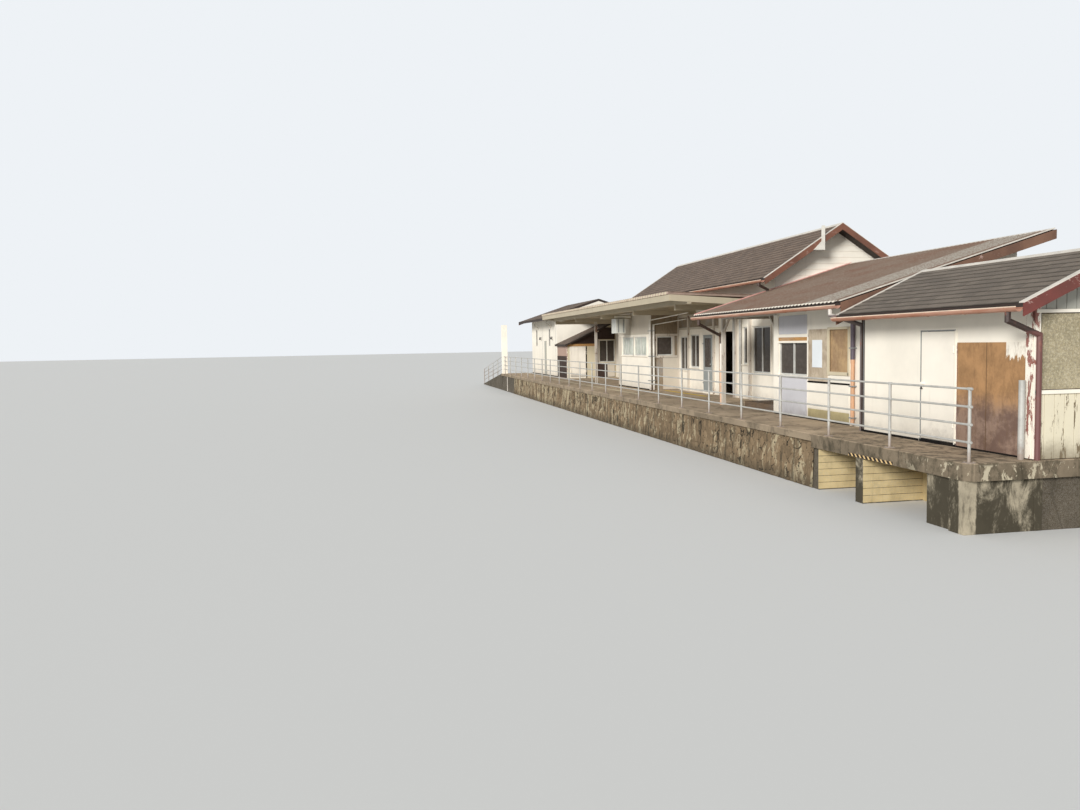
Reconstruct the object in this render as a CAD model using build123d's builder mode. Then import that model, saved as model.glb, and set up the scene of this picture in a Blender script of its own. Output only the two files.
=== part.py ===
"""Country railway station building on its platform, as a 1:2 scale model.

Millimetres of the model, so 500 here is one metre of the real station.
+X points to the near end of the building, -Y to the tracks, +Z up, and the
ground at the foot of the platform is Z = 0. Sizes along the building are
stations measured from the near end of the platform, and sizes across it are
measured inwards from the platform's edge on the track side.
"""
import os

from build123d import *

# Platform
platform_height = 530
near_slab_thickness = 130
deck_thickness = 70
slab_corner = 60
near_slab_lap = 75
far_deck_margin = 300
ramp_length = 4600
ramp_width = 750
ramp_toe = 15
sill_width = 40
stone_wall_face = 20
stone_wall_thickness = 250
stone_wall_batter = 20
pier_face = 12
pier_setback = 50
corner_pier_width = 175
corner_block_width = 305
corner_block_face = 40
near_recess_width = 870
middle_pier_width = 115
far_recess_width = 670
recess_depth = 600
recess_wall_thickness = 50

# Railing on the platform's edge
railing_height = 550
railing_setback = 50
first_post_setback = 55
post_spacing = 1000
post_width = 24
rail_width = 17
lowest_rail_height = 150
rail_spacing = 130
rail_count = 4
ramp_bays = 4
ramp_post_setback = 60
post_foot_width = 64
post_foot_thickness = 6
end_post_width = 46
end_post_height = 590
end_post_setback = 100
end_post_place = 515
far_pillar_width = 165
far_pillar_height = 1540
far_pillar_setback = 120
far_pillar_place = 88

# Walls
wall_thickness = 60
ridge_gap = 1

# Near wing, a small gabled store
near_wing_setback = 50
near_wing_length = 2325
near_front = 575
near_depth = 1400
near_eave_overhang = 250
near_verge_overhang = 175
near_far_verge = 35
near_eave_height = 1680
near_pitch = 0.458
near_roof_thickness = 45
store_door_start = 875
store_door_width = 500
store_door_top = 995
plywood_start = 60
plywood_width = 805
plywood_foot = 15
plywood_height = 855
plywood_thickness = 6

# Middle wing under one slope, half room and half waiting area
wing_gap = 150
middle_room_length = 2175
waiting_length = 1750
middle_front = 775
middle_depth = 1650
middle_eave_overhang = 380
middle_back_overhang = 400
middle_verge_overhang = 65
middle_eave_height = 1810
middle_pitch = 0.30
middle_roof_thickness = 60
boarded_window_start = 425
boarded_window_width = 415
boarded_window_foot = 560
boarded_window_height = 460
notice_start = 865
notice_width = 425
notice_foot = 445
notice_height = 585
sash_window_start = 1315
sash_window_width = 735
sash_window_foot = 490
sash_window_height = 460
panel_thickness = 8
waiting_post_width = 50
waiting_beam_height = 110
brace_reach = 190
brace_width = 30
step_height = 95
step_depth = 400
step_length = 1000

# Main hall
hall_length = 6350
hall_front = 1625
hall_depth = 1850
hall_eave_overhang = 275
hall_verge_overhang = 250
hall_eave_height = 2330
hall_pitch = 0.65
hall_roof_thickness = 60
doorway_start = 1450
doorway_width = 650
doorway_top = 1070
doorway_near_post = 1165
doorway_far_post = 1422
doorway_post_radius = 22
office_door_start = 2355
office_door_width = 470
office_door_top = 1055
hall_window_foot = 420
hall_window_height = 710
first_window_start = 130
first_window_width = 620
narrow_window_start = 940
narrow_window_width = 170
narrow_window_foot = 545
narrow_window_height = 585
curtain_window_start = 2990
curtain_window_width = 460
curtain_window_foot = 445
curtain_window_height = 595
last_window_start = 3570
last_window_width = 420
last_window_foot = 390
last_window_height = 620
mast_from_ridge = 335
mast_width = 45
mast_thickness = 22
mast_rise = 175
mast_height = 345
mast_foot_width = 125

# Office bay that stands out of the hall's front
bay_start = 4050
bay_end_setback = 60
bay_front = 1075
bay_opening_top = 1070
bay_window_foot = 660
bay_window_height = 365
bay_window_setback = 280
bay_window_width = 820
bay_mullion_width = 30
bay_side_window_setback = 105
bay_side_window_width = 320

# Canopy over the platform
canopy_near_end = 500
canopy_far_end = 3800
canopy_edge = 200
canopy_height = 2140
canopy_fall = 0.063
canopy_thickness = 40
fascia_height = 85
fascia_thickness = 12
long_beam_place = 475
long_beam_width = 60
long_beam_height = 2010
cross_beam_start = 1000
cross_beam_spacing = 2200
cross_beam_count = 5
cross_beam_width = 60
cross_beam_height = 80
cross_beam_end = 455
column_place = 890
column_width = 22
column_gap = 14
light_box_length = 350
light_box_width = 190
light_box_height = 290
light_box_place = 725

# Link between the hall and the far annex
link_length = 5700
link_eave_overhang = 200
link_eave_height = 2160
link_pitch = 0.25
link_roof_thickness = 50
link_front = 2300

# Far annex
annex_length = 3800
annex_front = 975
annex_back_setback = 100
annex_eave_overhang = 400
annex_eave_height = 2150
annex_pitch = 0.33
annex_roof_thickness = 60
annex_verge_overhang = 150
slit_window_width = 180
slit_window_foot = 855
slit_window_height = 500
near_slit_start = 960
far_slit_start = 2900
bracket_lead = 140
bracket_reach = 170
bracket_drop = 330
bracket_width = 30

# Lean-to shed beside the annex
shed_length = 1250
shed_front = 975
shed_eave_overhang = 75
shed_eave_height = 1420
shed_pitch = 0.44
shed_roof_thickness = 40
shed_verge_overhang = 100
shed_door_setback = 60
shed_door_width = 450
shed_door_top = 855
shed_gable_end = 1740
shed_window_place = 1840
shed_window_width = 430
shed_window_foot = 410
shed_window_height = 590

# Roof trim, gutters and pipes
board_depth = 95
board_thickness = 15
cap_width = 55
cap_thickness = 8
flashing_width = 18
flashing_height = 30
gutter_radius = 32
gutter_wall = 3
gutter_drop = 30
pipe_radius = 20
pipe_elbow = 60
pipe_stand_off = 15
store_outlet = 110
middle_outlet = 140
middle_far_outlet = 245
hall_outlet = 130
hall_pipe_corner = 60
hall_pipe_place = 1480
hall_pipe_elbow = 30
pipe_slope = 0.35

# Doors and their hinges
jamb_width = 25
jamb_proud = 5
door_sill = 30
door_clearance = 5
door_thickness = 20
door_stile = 55
door_lock_rail = 430
hinge_radius = 7
hinge_stand_off = 0.5
pin_radius = 3
pin_clearance = 0.3
knuckle_height = 20
knuckle_gap = 0.5
hinge_offset = 120
hinge_plate_width = 34
hinge_plate_thickness = 3
knob_radius = 14
knob_reach = 26
knob_height = 480

# Windows
frame_width = 22
frame_depth = 36
frame_setback = 12
glass_thickness = 5
mullion_from = 350

# Stations of the parts along the building
near_start = near_wing_setback
near_end = near_start + near_wing_length
slab_end = near_end - near_slab_lap
middle_start = near_end + wing_gap
middle_room_end = middle_start + middle_room_length
hall_start = middle_room_end + waiting_length
hall_end = hall_start + hall_length
annex_start = hall_end + link_length
annex_end = annex_start + annex_length
platform_end = annex_end + far_deck_margin
shed_start = annex_start - shed_length
bay_near = hall_start + bay_start
bay_far = hall_end - bay_end_setback
canopy_near = hall_start + canopy_near_end
canopy_far = hall_end + canopy_far_end
first_post = first_post_setback
pillar_station = platform_end - far_pillar_setback - far_pillar_width / 2
pillar_face = pillar_station - far_pillar_width / 2
post_count = int((pillar_face - first_post) / post_spacing) + 1
ramp_end = platform_end + ramp_length

# Places across the building
near_back = near_front + near_depth
middle_back = middle_front + middle_depth
middle_top_edge = middle_back + middle_back_overhang
hall_back = hall_front + hall_depth
hall_ridge = hall_front + hall_depth / 2
annex_back = hall_back - annex_back_setback
recess_back = recess_depth + recess_wall_thickness
core_front = stone_wall_face + stone_wall_thickness
gutter_width = 2 * gutter_radius
overall_depth = hall_back + hall_eave_overhang + gutter_width
deck_bottom = platform_height - deck_thickness
slab_bottom = platform_height - near_slab_thickness


def along(station):
    """X of a station along the building."""
    return ramp_end / 2 - station


def inward(place):
    """Y of a place across the building."""
    return place - overall_depth / 2


def above(height):
    """Z of a height above the platform."""
    return platform_height + height


def elevation(place):
    """Sketch plane of a front: local X is X and local Y is Z."""
    return Plane.XZ.offset(-inward(place))


def cross_section(station):
    """Sketch plane across the building: local X is Y and local Y is Z."""
    return Plane.YZ.offset(along(station))


def area(a, b, low, high, mode=Mode.ADD):
    """Rectangle between two corners of the sketch."""
    with Locations(((a + b) / 2, (low + high) / 2)):
        Rectangle(abs(b - a), abs(high - low), mode=mode)


def block(stations, places, heights, mode=Mode.ADD):
    """Box between stations along, places across and heights."""
    with BuildSketch(Plane.XY.offset(heights[0])) as face:
        area(along(stations[0]), along(stations[1]), inward(places[0]), inward(places[1]))
    extrude(face.sketch, amount=heights[1] - heights[0], mode=mode)


def post(station, place, width, heights):
    """Square post centred on a station and a place."""
    block((station - width / 2, station + width / 2), (place - width / 2, place + width / 2), heights)


def profile(points, stations):
    """Closed profile across the building, carried from one station to another."""
    with BuildSketch(cross_section(stations[0])) as face:
        Polygon(*[(inward(place), height) for place, height in points], align=None)
    extrude(face.sketch, amount=along(stations[1]) - along(stations[0]))


def round_post(station, place, radius, heights):
    """Round post centred on a station and a place."""
    with BuildSketch(Plane.XY.offset(heights[0])) as face:
        with Locations((along(station), inward(place))):
            Circle(radius)
    extrude(face.sketch, amount=heights[1] - heights[0])


def panes(near, far):
    """Near and far edge of each pane inside a window's frame."""
    first, last = near + frame_width, far - frame_width
    if far - near < mullion_from:
        return [(first, last)]
    middle = (first + last) / 2
    return [(first, middle - frame_width / 2), (middle + frame_width / 2, last)]


def save(piece, label):
    """Label a finished piece and write it."""
    piece.part.label = label
    export_step(piece.part, f"parts/{label}.step")


class Opening:
    """Window or doorway in a wall along the building."""

    def __init__(self, start, width, foot, height):
        self.near = start
        self.far = start + width
        self.low = above(foot)
        self.high = above(foot + height)

    def cut(self, mode=Mode.SUBTRACT):
        """Rectangle of the opening in an elevation."""
        area(along(self.near), along(self.far), self.low, self.high, mode=mode)

    def panes(self):
        """Near and far station of each pane inside the frame."""
        return panes(self.near, self.far)


class Roof:
    """Gable or single slope given by its front eave, pitch and thickness."""

    def __init__(self, eave, height, pitch, thickness, ridge):
        self.eave = eave
        self.height = height
        self.pitch = pitch
        self.thickness = thickness
        self.ridge = ridge
        self.back_eave = 2 * ridge - eave

    def top(self, place):
        """Height of the roof's top surface at a place across the building."""
        run = self.ridge - self.eave - abs(place - self.ridge)
        return self.height + self.pitch * run

    def under(self, place):
        """Height of the roof's underside at a place across the building."""
        return self.top(place) - self.thickness

    def band(self, stations, places, over, below):
        """Board along one slope, from over to below the top surface."""
        upper = [(place, self.top(place) + over) for place in places]
        lower = [(place, self.top(place) - below) for place in reversed(places)]
        profile(upper + lower, stations)

    def gable(self, stations):
        """Both slopes, parted at the ridge."""
        self.band(stations, (self.eave, self.ridge - ridge_gap), 0, self.thickness)
        self.band(stations, (self.ridge + ridge_gap, self.back_eave), 0, self.thickness)

    def verge_boards(self, station):
        """Pair of boards that meet at the ridge at one gable end."""
        ends = (station, station + board_thickness)
        self.band(ends, (self.eave, self.ridge - ridge_gap), 0, board_depth)
        self.band(ends, (self.ridge + ridge_gap, self.back_eave), 0, board_depth)

    def caps(self, stations):
        """Metal caps along the ridge and over both verges."""
        for start in (stations[0], stations[1] - cap_width):
            for eave in (self.eave, self.back_eave):
                self.band((start, start + cap_width), (eave, self.ridge), cap_thickness, 0)
        for side in (-cap_width, cap_width):
            self.band(stations, (self.ridge, self.ridge + side), cap_thickness, 0)

    def end_wall(self, station, front, back):
        """Wall across the building from the platform up to the underside."""
        head = [(front, self.under(front)), (back, self.under(back))]
        if front < self.ridge < back:
            head.insert(1, (self.ridge, self.under(self.ridge)))
        feet = [(back, platform_height), (front, platform_height)]
        profile(head + feet, (station, station + wall_thickness))


near_shape = Roof(near_front - near_eave_overhang, near_eave_height, near_pitch,
                  near_roof_thickness, near_front + near_depth / 2)
middle_shape = Roof(middle_front - middle_eave_overhang, middle_eave_height, middle_pitch,
                    middle_roof_thickness, middle_top_edge)
hall_shape = Roof(hall_front - hall_eave_overhang, hall_eave_height, hall_pitch,
                  hall_roof_thickness, hall_ridge)
link_shape = Roof(hall_front - link_eave_overhang, link_eave_height, link_pitch,
                  link_roof_thickness, hall_ridge)
annex_shape = Roof(annex_front - annex_eave_overhang, annex_eave_height, annex_pitch,
                   annex_roof_thickness, (annex_front + annex_back) / 2)
shed_shape = Roof(shed_front - shed_eave_overhang, shed_eave_height, shed_pitch,
                  shed_roof_thickness, link_front)
near_roof_ends = (near_start - near_verge_overhang, near_end + near_far_verge)
hall_roof_ends = (hall_start - hall_verge_overhang, hall_end + hall_verge_overhang)
middle_roof_start = middle_start - middle_verge_overhang


def canopy_top(place):
    """Height of the canopy's top, which falls towards the building."""
    return canopy_height - canopy_fall * (place - canopy_edge)


def canopy_under(place):
    """Height of the canopy's underside."""
    return canopy_top(place) - canopy_thickness


def front_wall(stations, place, top, openings=()):
    """Stretch of wall along the building with its windows cut through."""
    with BuildSketch(elevation(place)) as face:
        area(along(stations[0]), along(stations[1]), platform_height, top)
        for opening in openings:
            opening.cut()
    extrude(face.sketch, amount=-wall_thickness)


def lintel(opening, place, top):
    """Stretch of wall over an opening."""
    block((opening.near, opening.far), (place, place + wall_thickness), (opening.high, top))


# Openings
store_doorway = Opening(near_start + store_door_start, store_door_width, 0, store_door_top)
boarded_window = Opening(middle_start + boarded_window_start, boarded_window_width,
                         boarded_window_foot, boarded_window_height)
sash_window = Opening(middle_start + sash_window_start, sash_window_width, sash_window_foot, sash_window_height)
first_window = Opening(hall_start + first_window_start, first_window_width, hall_window_foot, hall_window_height)
narrow_window = Opening(hall_start + narrow_window_start, narrow_window_width,
                        narrow_window_foot, narrow_window_height)
doorway = Opening(hall_start + doorway_start, doorway_width, 0, doorway_top)
office_doorway = Opening(hall_start + office_door_start, office_door_width, 0, office_door_top)
curtain_window = Opening(hall_start + curtain_window_start, curtain_window_width,
                         curtain_window_foot, curtain_window_height)
last_window = Opening(hall_start + last_window_start, last_window_width, last_window_foot, last_window_height)
bay_doorway = Opening(bay_near + wall_thickness, bay_far - bay_near - 2 * wall_thickness, 0, bay_opening_top)
near_bay_window = Opening(bay_near + bay_window_setback, bay_window_width, bay_window_foot, bay_window_height)
far_bay_window = Opening(near_bay_window.far + bay_mullion_width, bay_window_width,
                         bay_window_foot, bay_window_height)
near_slit_window = Opening(annex_start + near_slit_start, slit_window_width, slit_window_foot, slit_window_height)
far_slit_window = Opening(annex_start + far_slit_start, slit_window_width, slit_window_foot, slit_window_height)
bay_side_near = bay_front + bay_side_window_setback
bay_side_far = bay_side_near + bay_side_window_width
shed_window = (shed_window_place, shed_window_place + shed_window_width)
shed_window_heights = (above(shed_window_foot), above(shed_window_foot + shed_window_height))

os.makedirs("parts", exist_ok=True)

# Platform
corner_pier_end = pier_setback + corner_pier_width
corner_block_end = corner_pier_end + corner_block_width
middle_pier_start = corner_block_end + near_recess_width
middle_pier_end = middle_pier_start + middle_pier_width
recess_end = middle_pier_end + far_recess_width
near_sill = near_back + sill_width
middle_sill = middle_back + sill_width
hall_sill = hall_back + sill_width
middle_edge = middle_start - sill_width
hall_edge = hall_start - sill_width

with BuildPart() as near_slab:
    with BuildSketch(Plane.XY.offset(slab_bottom)) as slab_plan:
        area(along(0), along(slab_end), inward(0), inward(near_sill))
        front_corner = slab_plan.vertices().sort_by(Axis.Y)[:2].sort_by(Axis.X)[-1]
        chamfer(front_corner, length=slab_corner)
    extrude(amount=near_slab_thickness)
save(near_slab, "near_slab")

with BuildPart() as platform_deck:
    block((slab_end, middle_edge), (0, near_sill), (deck_bottom, platform_height))
    block((middle_edge, hall_edge), (0, middle_sill), (deck_bottom, platform_height))
    block((hall_edge, platform_end), (0, hall_sill), (deck_bottom, platform_height))
save(platform_deck, "platform_deck")

with BuildPart() as stone_wall:
    foot_line = [(stone_wall_face, 0), (core_front, 0)]
    profile(foot_line + [(core_front, deck_bottom), (stone_wall_face + stone_wall_batter, deck_bottom)],
            (slab_end, platform_end))
    profile(foot_line + [(core_front, slab_bottom), (stone_wall_face + stone_wall_batter, slab_bottom)],
            (recess_end, slab_end))
save(stone_wall, "stone_wall")

with BuildPart() as platform_core:
    block((pier_setback, recess_end), (recess_back, near_sill), (0, slab_bottom))
    block((recess_end, slab_end), (core_front, near_sill), (0, slab_bottom))
    block((slab_end, middle_edge), (core_front, near_sill), (0, deck_bottom))
    block((middle_edge, hall_edge), (core_front, middle_sill), (0, deck_bottom))
    block((hall_edge, platform_end), (core_front, hall_sill), (0, deck_bottom))
save(platform_core, "platform_core")

with BuildPart() as recess_wall:
    block((pier_setback, recess_end), (recess_depth, recess_back), (0, slab_bottom))
save(recess_wall, "recess_wall")

with BuildPart() as platform_piers:
    block((pier_setback, corner_pier_end), (pier_face, recess_depth), (0, slab_bottom))
    block((corner_pier_end, corner_block_end), (corner_block_face, recess_depth), (0, slab_bottom))
    block((middle_pier_start, middle_pier_end), (pier_face, recess_depth), (0, slab_bottom))
save(platform_piers, "platform_piers")

# Railing
with BuildPart() as railing:
    feet = [(along(first_post + post_spacing * i), inward(railing_setback)) for i in range(post_count)]
    with BuildSketch(Plane.XY.offset(platform_height)):
        with Locations(*feet):
            Rectangle(post_foot_width, post_foot_width)
    extrude(amount=post_foot_thickness)
    with BuildSketch(Plane.XY.offset(platform_height)):
        with Locations(*feet):
            Rectangle(post_width, post_width)
    extrude(amount=railing_height)
    rails = [(inward(railing_setback), above(lowest_rail_height + rail_spacing * i)) for i in range(rail_count)]
    with BuildSketch(cross_section(pillar_face)):
        with Locations(*rails):
            RegularPolygon(rail_width / 2, 6, major_radius=False)
    extrude(amount=along(first_post) - along(pillar_face))
save(railing, "railing")


def ramp_top(station):
    """Height of the ramp's surface at a station."""
    return platform_height - (platform_height - ramp_toe) * (station - platform_end) / ramp_length


def ramp_body(mode=Mode.ADD):
    """Ramp from the far end of the platform down to the ground."""
    with BuildSketch(elevation(stone_wall_face)) as face:
        Polygon((along(platform_end), 0), (along(platform_end), platform_height),
                (along(ramp_end), ramp_toe), (along(ramp_end), 0), align=None)
    extrude(face.sketch, amount=-ramp_width, mode=mode)


with BuildPart() as far_ramp:
    ramp_body()
save(far_ramp, "far_ramp")

with BuildPart() as ramp_railing:
    first_ramp_post = platform_end - ramp_post_setback
    for i in range(ramp_bays + 1):
        station = first_ramp_post + ramp_length / ramp_bays * i
        foot = min(platform_height, ramp_top(station + post_width))
        with BuildSketch(Plane.XY.offset(foot)):
            with Locations((along(station), inward(railing_setback))):
                Rectangle(post_width, post_width)
        extrude(amount=ramp_top(station) + railing_height - foot)
    downhill = Vector(-ramp_length, 0, ramp_toe - platform_height)
    for i in range(rail_count):
        height = ramp_top(first_ramp_post) + lowest_rail_height + rail_spacing * i
        start = (along(first_ramp_post), inward(railing_setback), height)
        with BuildSketch(Plane(origin=start, x_dir=(0, 1, 0), z_dir=downhill)):
            RegularPolygon(rail_width / 2, 6, major_radius=False)
        extrude(amount=downhill.length)
    ramp_body(mode=Mode.SUBTRACT)
save(ramp_railing, "ramp_railing")

with BuildPart() as far_pillar:
    post(pillar_station, far_pillar_place, far_pillar_width, (platform_height, above(far_pillar_height)))
save(far_pillar, "far_pillar")

# Near wing
near_inner = (near_start + wall_thickness, near_end - wall_thickness)
near_wall_top = near_shape.under(near_front)

with BuildPart() as near_front_wall:
    front_wall((near_inner[0], store_doorway.near), near_front, near_wall_top)
    front_wall((store_doorway.far, near_inner[1]), near_front, near_wall_top)
save(near_front_wall, "near_front_wall")

with BuildPart() as near_gable_walls:
    near_shape.end_wall(near_start, near_front, near_back)
    near_shape.end_wall(near_inner[1], near_front, near_back)
save(near_gable_walls, "near_gable_walls")

with BuildPart() as near_roof:
    near_shape.gable(near_roof_ends)
save(near_roof, "near_roof")

# Middle wing
room_front = (middle_start + wall_thickness, middle_room_end - wall_thickness)
middle_wall_top = middle_shape.under(middle_front)
beam_bottom = middle_wall_top - waiting_beam_height
corner_post = (hall_start - 2 * waiting_post_width, hall_start - waiting_post_width)
post_places = (middle_front, middle_front + waiting_post_width)

with BuildPart() as middle_front_wall:
    front_wall(room_front, middle_front, middle_wall_top, (sash_window, boarded_window))
save(middle_front_wall, "middle_front_wall")

with BuildPart() as middle_end_walls:
    middle_shape.end_wall(middle_start, middle_front, middle_back)
    middle_shape.end_wall(room_front[1], middle_front, middle_back - wall_thickness)
save(middle_end_walls, "middle_end_walls")

with BuildPart() as middle_roof:
    middle_shape.band((middle_roof_start, hall_start), (middle_shape.eave, middle_top_edge),
                      0, middle_roof_thickness)
save(middle_roof, "middle_roof")

with BuildPart() as wall_panels:
    plywood = Opening(near_start + plywood_start, plywood_width, plywood_foot, plywood_height)
    block((plywood.near, plywood.far), (near_front - plywood_thickness, near_front), (plywood.low, plywood.high))
    notice = Opening(middle_start + notice_start, notice_width, notice_foot, notice_height)
    block((notice.near, notice.far), (middle_front - panel_thickness, middle_front), (notice.low, notice.high))
    board_face = middle_front + frame_setback
    block((boarded_window.near, boarded_window.far), (board_face, board_face + panel_thickness),
          (boarded_window.low, boarded_window.high))
save(wall_panels, "wall_panels")

with BuildPart() as waiting_beams:
    block((middle_room_end, corner_post[1]), post_places, (beam_bottom, middle_wall_top))
    block(corner_post, (post_places[1], hall_front), (beam_bottom, middle_wall_top))
save(waiting_beams, "waiting_beams")

with BuildPart() as waiting_braces:
    for foot, way in ((along(middle_room_end), -1), (along(corner_post[0]), 1)):
        head = foot + way * brace_reach
        low = beam_bottom - brace_reach
        with BuildSketch(elevation(middle_front + (waiting_post_width - brace_width) / 2)):
            Polygon((foot, low), (head, beam_bottom), (head - way * brace_width, beam_bottom),
                    (foot, low + brace_width), align=None)
        extrude(amount=-brace_width)
save(waiting_braces, "waiting_braces")

with BuildPart() as waiting_step:
    block((middle_room_end, middle_room_end + step_length), (post_places[1], post_places[1] + step_depth),
          (platform_height, above(step_height)))
save(waiting_step, "waiting_step")

# Main hall
hall_inner = (hall_start + wall_thickness, hall_end - wall_thickness)
hall_wall_top = hall_shape.under(hall_front)

with BuildPart() as hall_front_wall:
    front_wall((hall_inner[0], doorway.near), hall_front, hall_wall_top, (first_window, narrow_window))
    front_wall((doorway.far, office_doorway.near), hall_front, hall_wall_top)
    front_wall((office_doorway.far, bay_doorway.near), hall_front, hall_wall_top, (curtain_window, last_window))
    front_wall((bay_doorway.far, hall_inner[1]), hall_front, hall_wall_top)
save(hall_front_wall, "hall_front_wall")

with BuildPart() as round_posts:
    round_post(end_post_setback, end_post_place, end_post_width / 2, (platform_height, above(end_post_height)))
    post_middle = hall_front - doorway_post_radius
    for start in (doorway_near_post, doorway_far_post):
        round_post(hall_start + start, post_middle, doorway_post_radius,
                   (platform_height, canopy_under(hall_front)))
save(round_posts, "round_posts")

with BuildPart() as hall_gable_walls:
    hall_shape.end_wall(hall_start, hall_front, hall_back)
    hall_shape.end_wall(hall_inner[1], hall_front, hall_back)
save(hall_gable_walls, "hall_gable_walls")

with BuildPart() as hall_roof:
    hall_shape.gable(hall_roof_ends)
save(hall_roof, "hall_roof")

with BuildPart() as gable_mast:
    mast_place = hall_ridge - mast_from_ridge
    mast_top = hall_shape.top(mast_place) + mast_rise
    mast_foot = mast_top - mast_height
    board_face = hall_roof_ends[0] - board_thickness
    profile([(mast_place, mast_top), (mast_place + mast_width, mast_top), (mast_place + mast_width, mast_foot),
             (mast_place - mast_foot_width, mast_foot), (mast_place, mast_foot + mast_foot_width)],
            (board_face - mast_thickness, board_face))
save(gable_mast, "gable_mast")

# Office bay
with BuildPart() as bay_front_wall:
    front_wall((bay_near + wall_thickness, bay_far - wall_thickness), bay_front,
               canopy_under(bay_front + wall_thickness), (near_bay_window, far_bay_window))
save(bay_front_wall, "bay_front_wall")


def bay_side(station):
    """Side wall of the bay up to the underside of the canopy."""
    profile([(bay_front, platform_height), (hall_front, platform_height),
             (hall_front, canopy_under(hall_front)), (bay_front, canopy_under(bay_front))],
            (station, station + wall_thickness))


with BuildPart() as bay_side_walls:
    bay_side(bay_near)
    block((bay_near, bay_near + wall_thickness), (bay_side_near, bay_side_far),
          (near_bay_window.low, near_bay_window.high), mode=Mode.SUBTRACT)
    bay_side(bay_far - wall_thickness)
save(bay_side_walls, "bay_side_walls")

# Canopy
with BuildPart() as canopy_deck:
    profile([(canopy_edge, canopy_top(canopy_edge)), (hall_front, canopy_top(hall_front)),
             (hall_front, canopy_under(hall_front)), (canopy_edge, canopy_under(canopy_edge))],
            (canopy_near, canopy_far))
save(canopy_deck, "canopy_deck")

with BuildPart() as canopy_fascia:
    block((canopy_near, canopy_far), (canopy_edge - fascia_thickness, canopy_edge),
          (canopy_height - fascia_height, canopy_height + cap_thickness))
save(canopy_fascia, "canopy_fascia")

with BuildPart() as canopy_end_fascias:
    upper = [(p, canopy_top(p) + cap_thickness) for p in (canopy_edge, hall_front)]
    lower = [(p, canopy_top(p) - fascia_height) for p in (hall_front, canopy_edge)]
    profile(upper + lower, (canopy_near - fascia_thickness, canopy_near))
    profile(upper + lower, (canopy_far, canopy_far + fascia_thickness))
save(canopy_end_fascias, "canopy_end_fascias")

with BuildPart() as canopy_beam:
    beam_edges = (long_beam_place, long_beam_place + long_beam_width)
    profile([(beam_edges[0], canopy_under(beam_edges[0])), (beam_edges[1], canopy_under(beam_edges[1])),
             (beam_edges[1], long_beam_height), (beam_edges[0], long_beam_height)],
            (canopy_near, canopy_far))
save(canopy_beam, "canopy_beam")

beam_stations = [hall_start + cross_beam_start + cross_beam_spacing * i for i in range(cross_beam_count)]
cross_beam_bottom = long_beam_height - cross_beam_height

with BuildPart() as canopy_cross_beams:
    for station in beam_stations:
        seat = bay_front if bay_near < station < bay_far else hall_front
        if station > hall_end:
            seat = link_front
        block((station - cross_beam_width / 2, station + cross_beam_width / 2), (cross_beam_end, seat),
              (cross_beam_bottom, long_beam_height))
save(canopy_cross_beams, "canopy_cross_beams")

with BuildPart() as timber_columns:
    block(corner_post, post_places, (platform_height, beam_bottom))
    for place in (column_place, column_place + column_width + column_gap):
        post(beam_stations[-2], place + column_width / 2, column_width, (platform_height, cross_beam_bottom))
save(timber_columns, "timber_columns")

with BuildPart() as light_box:
    box_station = beam_stations[2]
    block((box_station - light_box_length / 2, box_station + light_box_length / 2),
          (light_box_place, light_box_place + light_box_width),
          (cross_beam_bottom - light_box_height, cross_beam_bottom))
save(light_box, "light_box")

# Link
with BuildPart() as link_roof:
    link_shape.gable((hall_end, annex_start))
save(link_roof, "link_roof")

# Annex
annex_inner = (annex_start + wall_thickness, annex_end - wall_thickness)
annex_roof_end = annex_end + annex_verge_overhang

with BuildPart() as far_long_walls:
    front_wall((hall_end, annex_start), link_front, link_shape.under(link_front))
    front_wall((hall_end, annex_start), hall_back - wall_thickness, link_shape.under(hall_back))
    front_wall(annex_inner, annex_front, annex_shape.under(annex_front), (near_slit_window, far_slit_window))
    front_wall(annex_inner, annex_back - wall_thickness, annex_shape.under(annex_back))
save(far_long_walls, "far_long_walls")

with BuildPart() as annex_gable_walls:
    annex_shape.end_wall(annex_start, annex_front, annex_back)
    annex_shape.end_wall(annex_inner[1], annex_front, annex_back)
save(annex_gable_walls, "annex_gable_walls")

with BuildPart() as annex_roof:
    annex_shape.gable((annex_start, annex_roof_end))
save(annex_roof, "annex_roof")

with BuildPart() as eave_brackets:
    wall_face = inward(annex_front)
    tip_place = annex_front - bracket_reach
    tip = (inward(tip_place), annex_shape.under(tip_place))
    inner_tip = (inward(tip_place + bracket_width), annex_shape.under(tip_place + bracket_width))
    root = (wall_face, annex_shape.under(annex_front) - bracket_drop)
    inner_root = (wall_face, root[1] + 2 * bracket_width)
    for window in (near_slit_window, far_slit_window):
        with BuildSketch(cross_section(window.near - bracket_lead)):
            with BuildLine():
                SagittaArc(root, tip, bracket_width)
                Line(tip, inner_tip)
                SagittaArc(inner_tip, inner_root, -bracket_width)
                Line(inner_root, root)
            make_face()
        extrude(amount=-bracket_width)
save(eave_brackets, "eave_brackets")

# Shed
shed_doors = (shed_front + shed_door_setback, shed_front + shed_door_setback + shed_door_width)
shed_head = above(shed_door_top)
shed_end = (shed_start, shed_start + wall_thickness)

with BuildPart() as shed_front_wall:
    front_wall((shed_start + wall_thickness, annex_start), shed_front, shed_shape.under(shed_front))
save(shed_front_wall, "shed_front_wall")

with BuildPart() as shed_gable:
    profile([(shed_front, shed_shape.under(shed_front)), (shed_gable_end, shed_shape.under(shed_gable_end)),
             (shed_gable_end, shed_head), (shed_front, shed_head)], shed_end)
save(shed_gable, "shed_gable")

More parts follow.
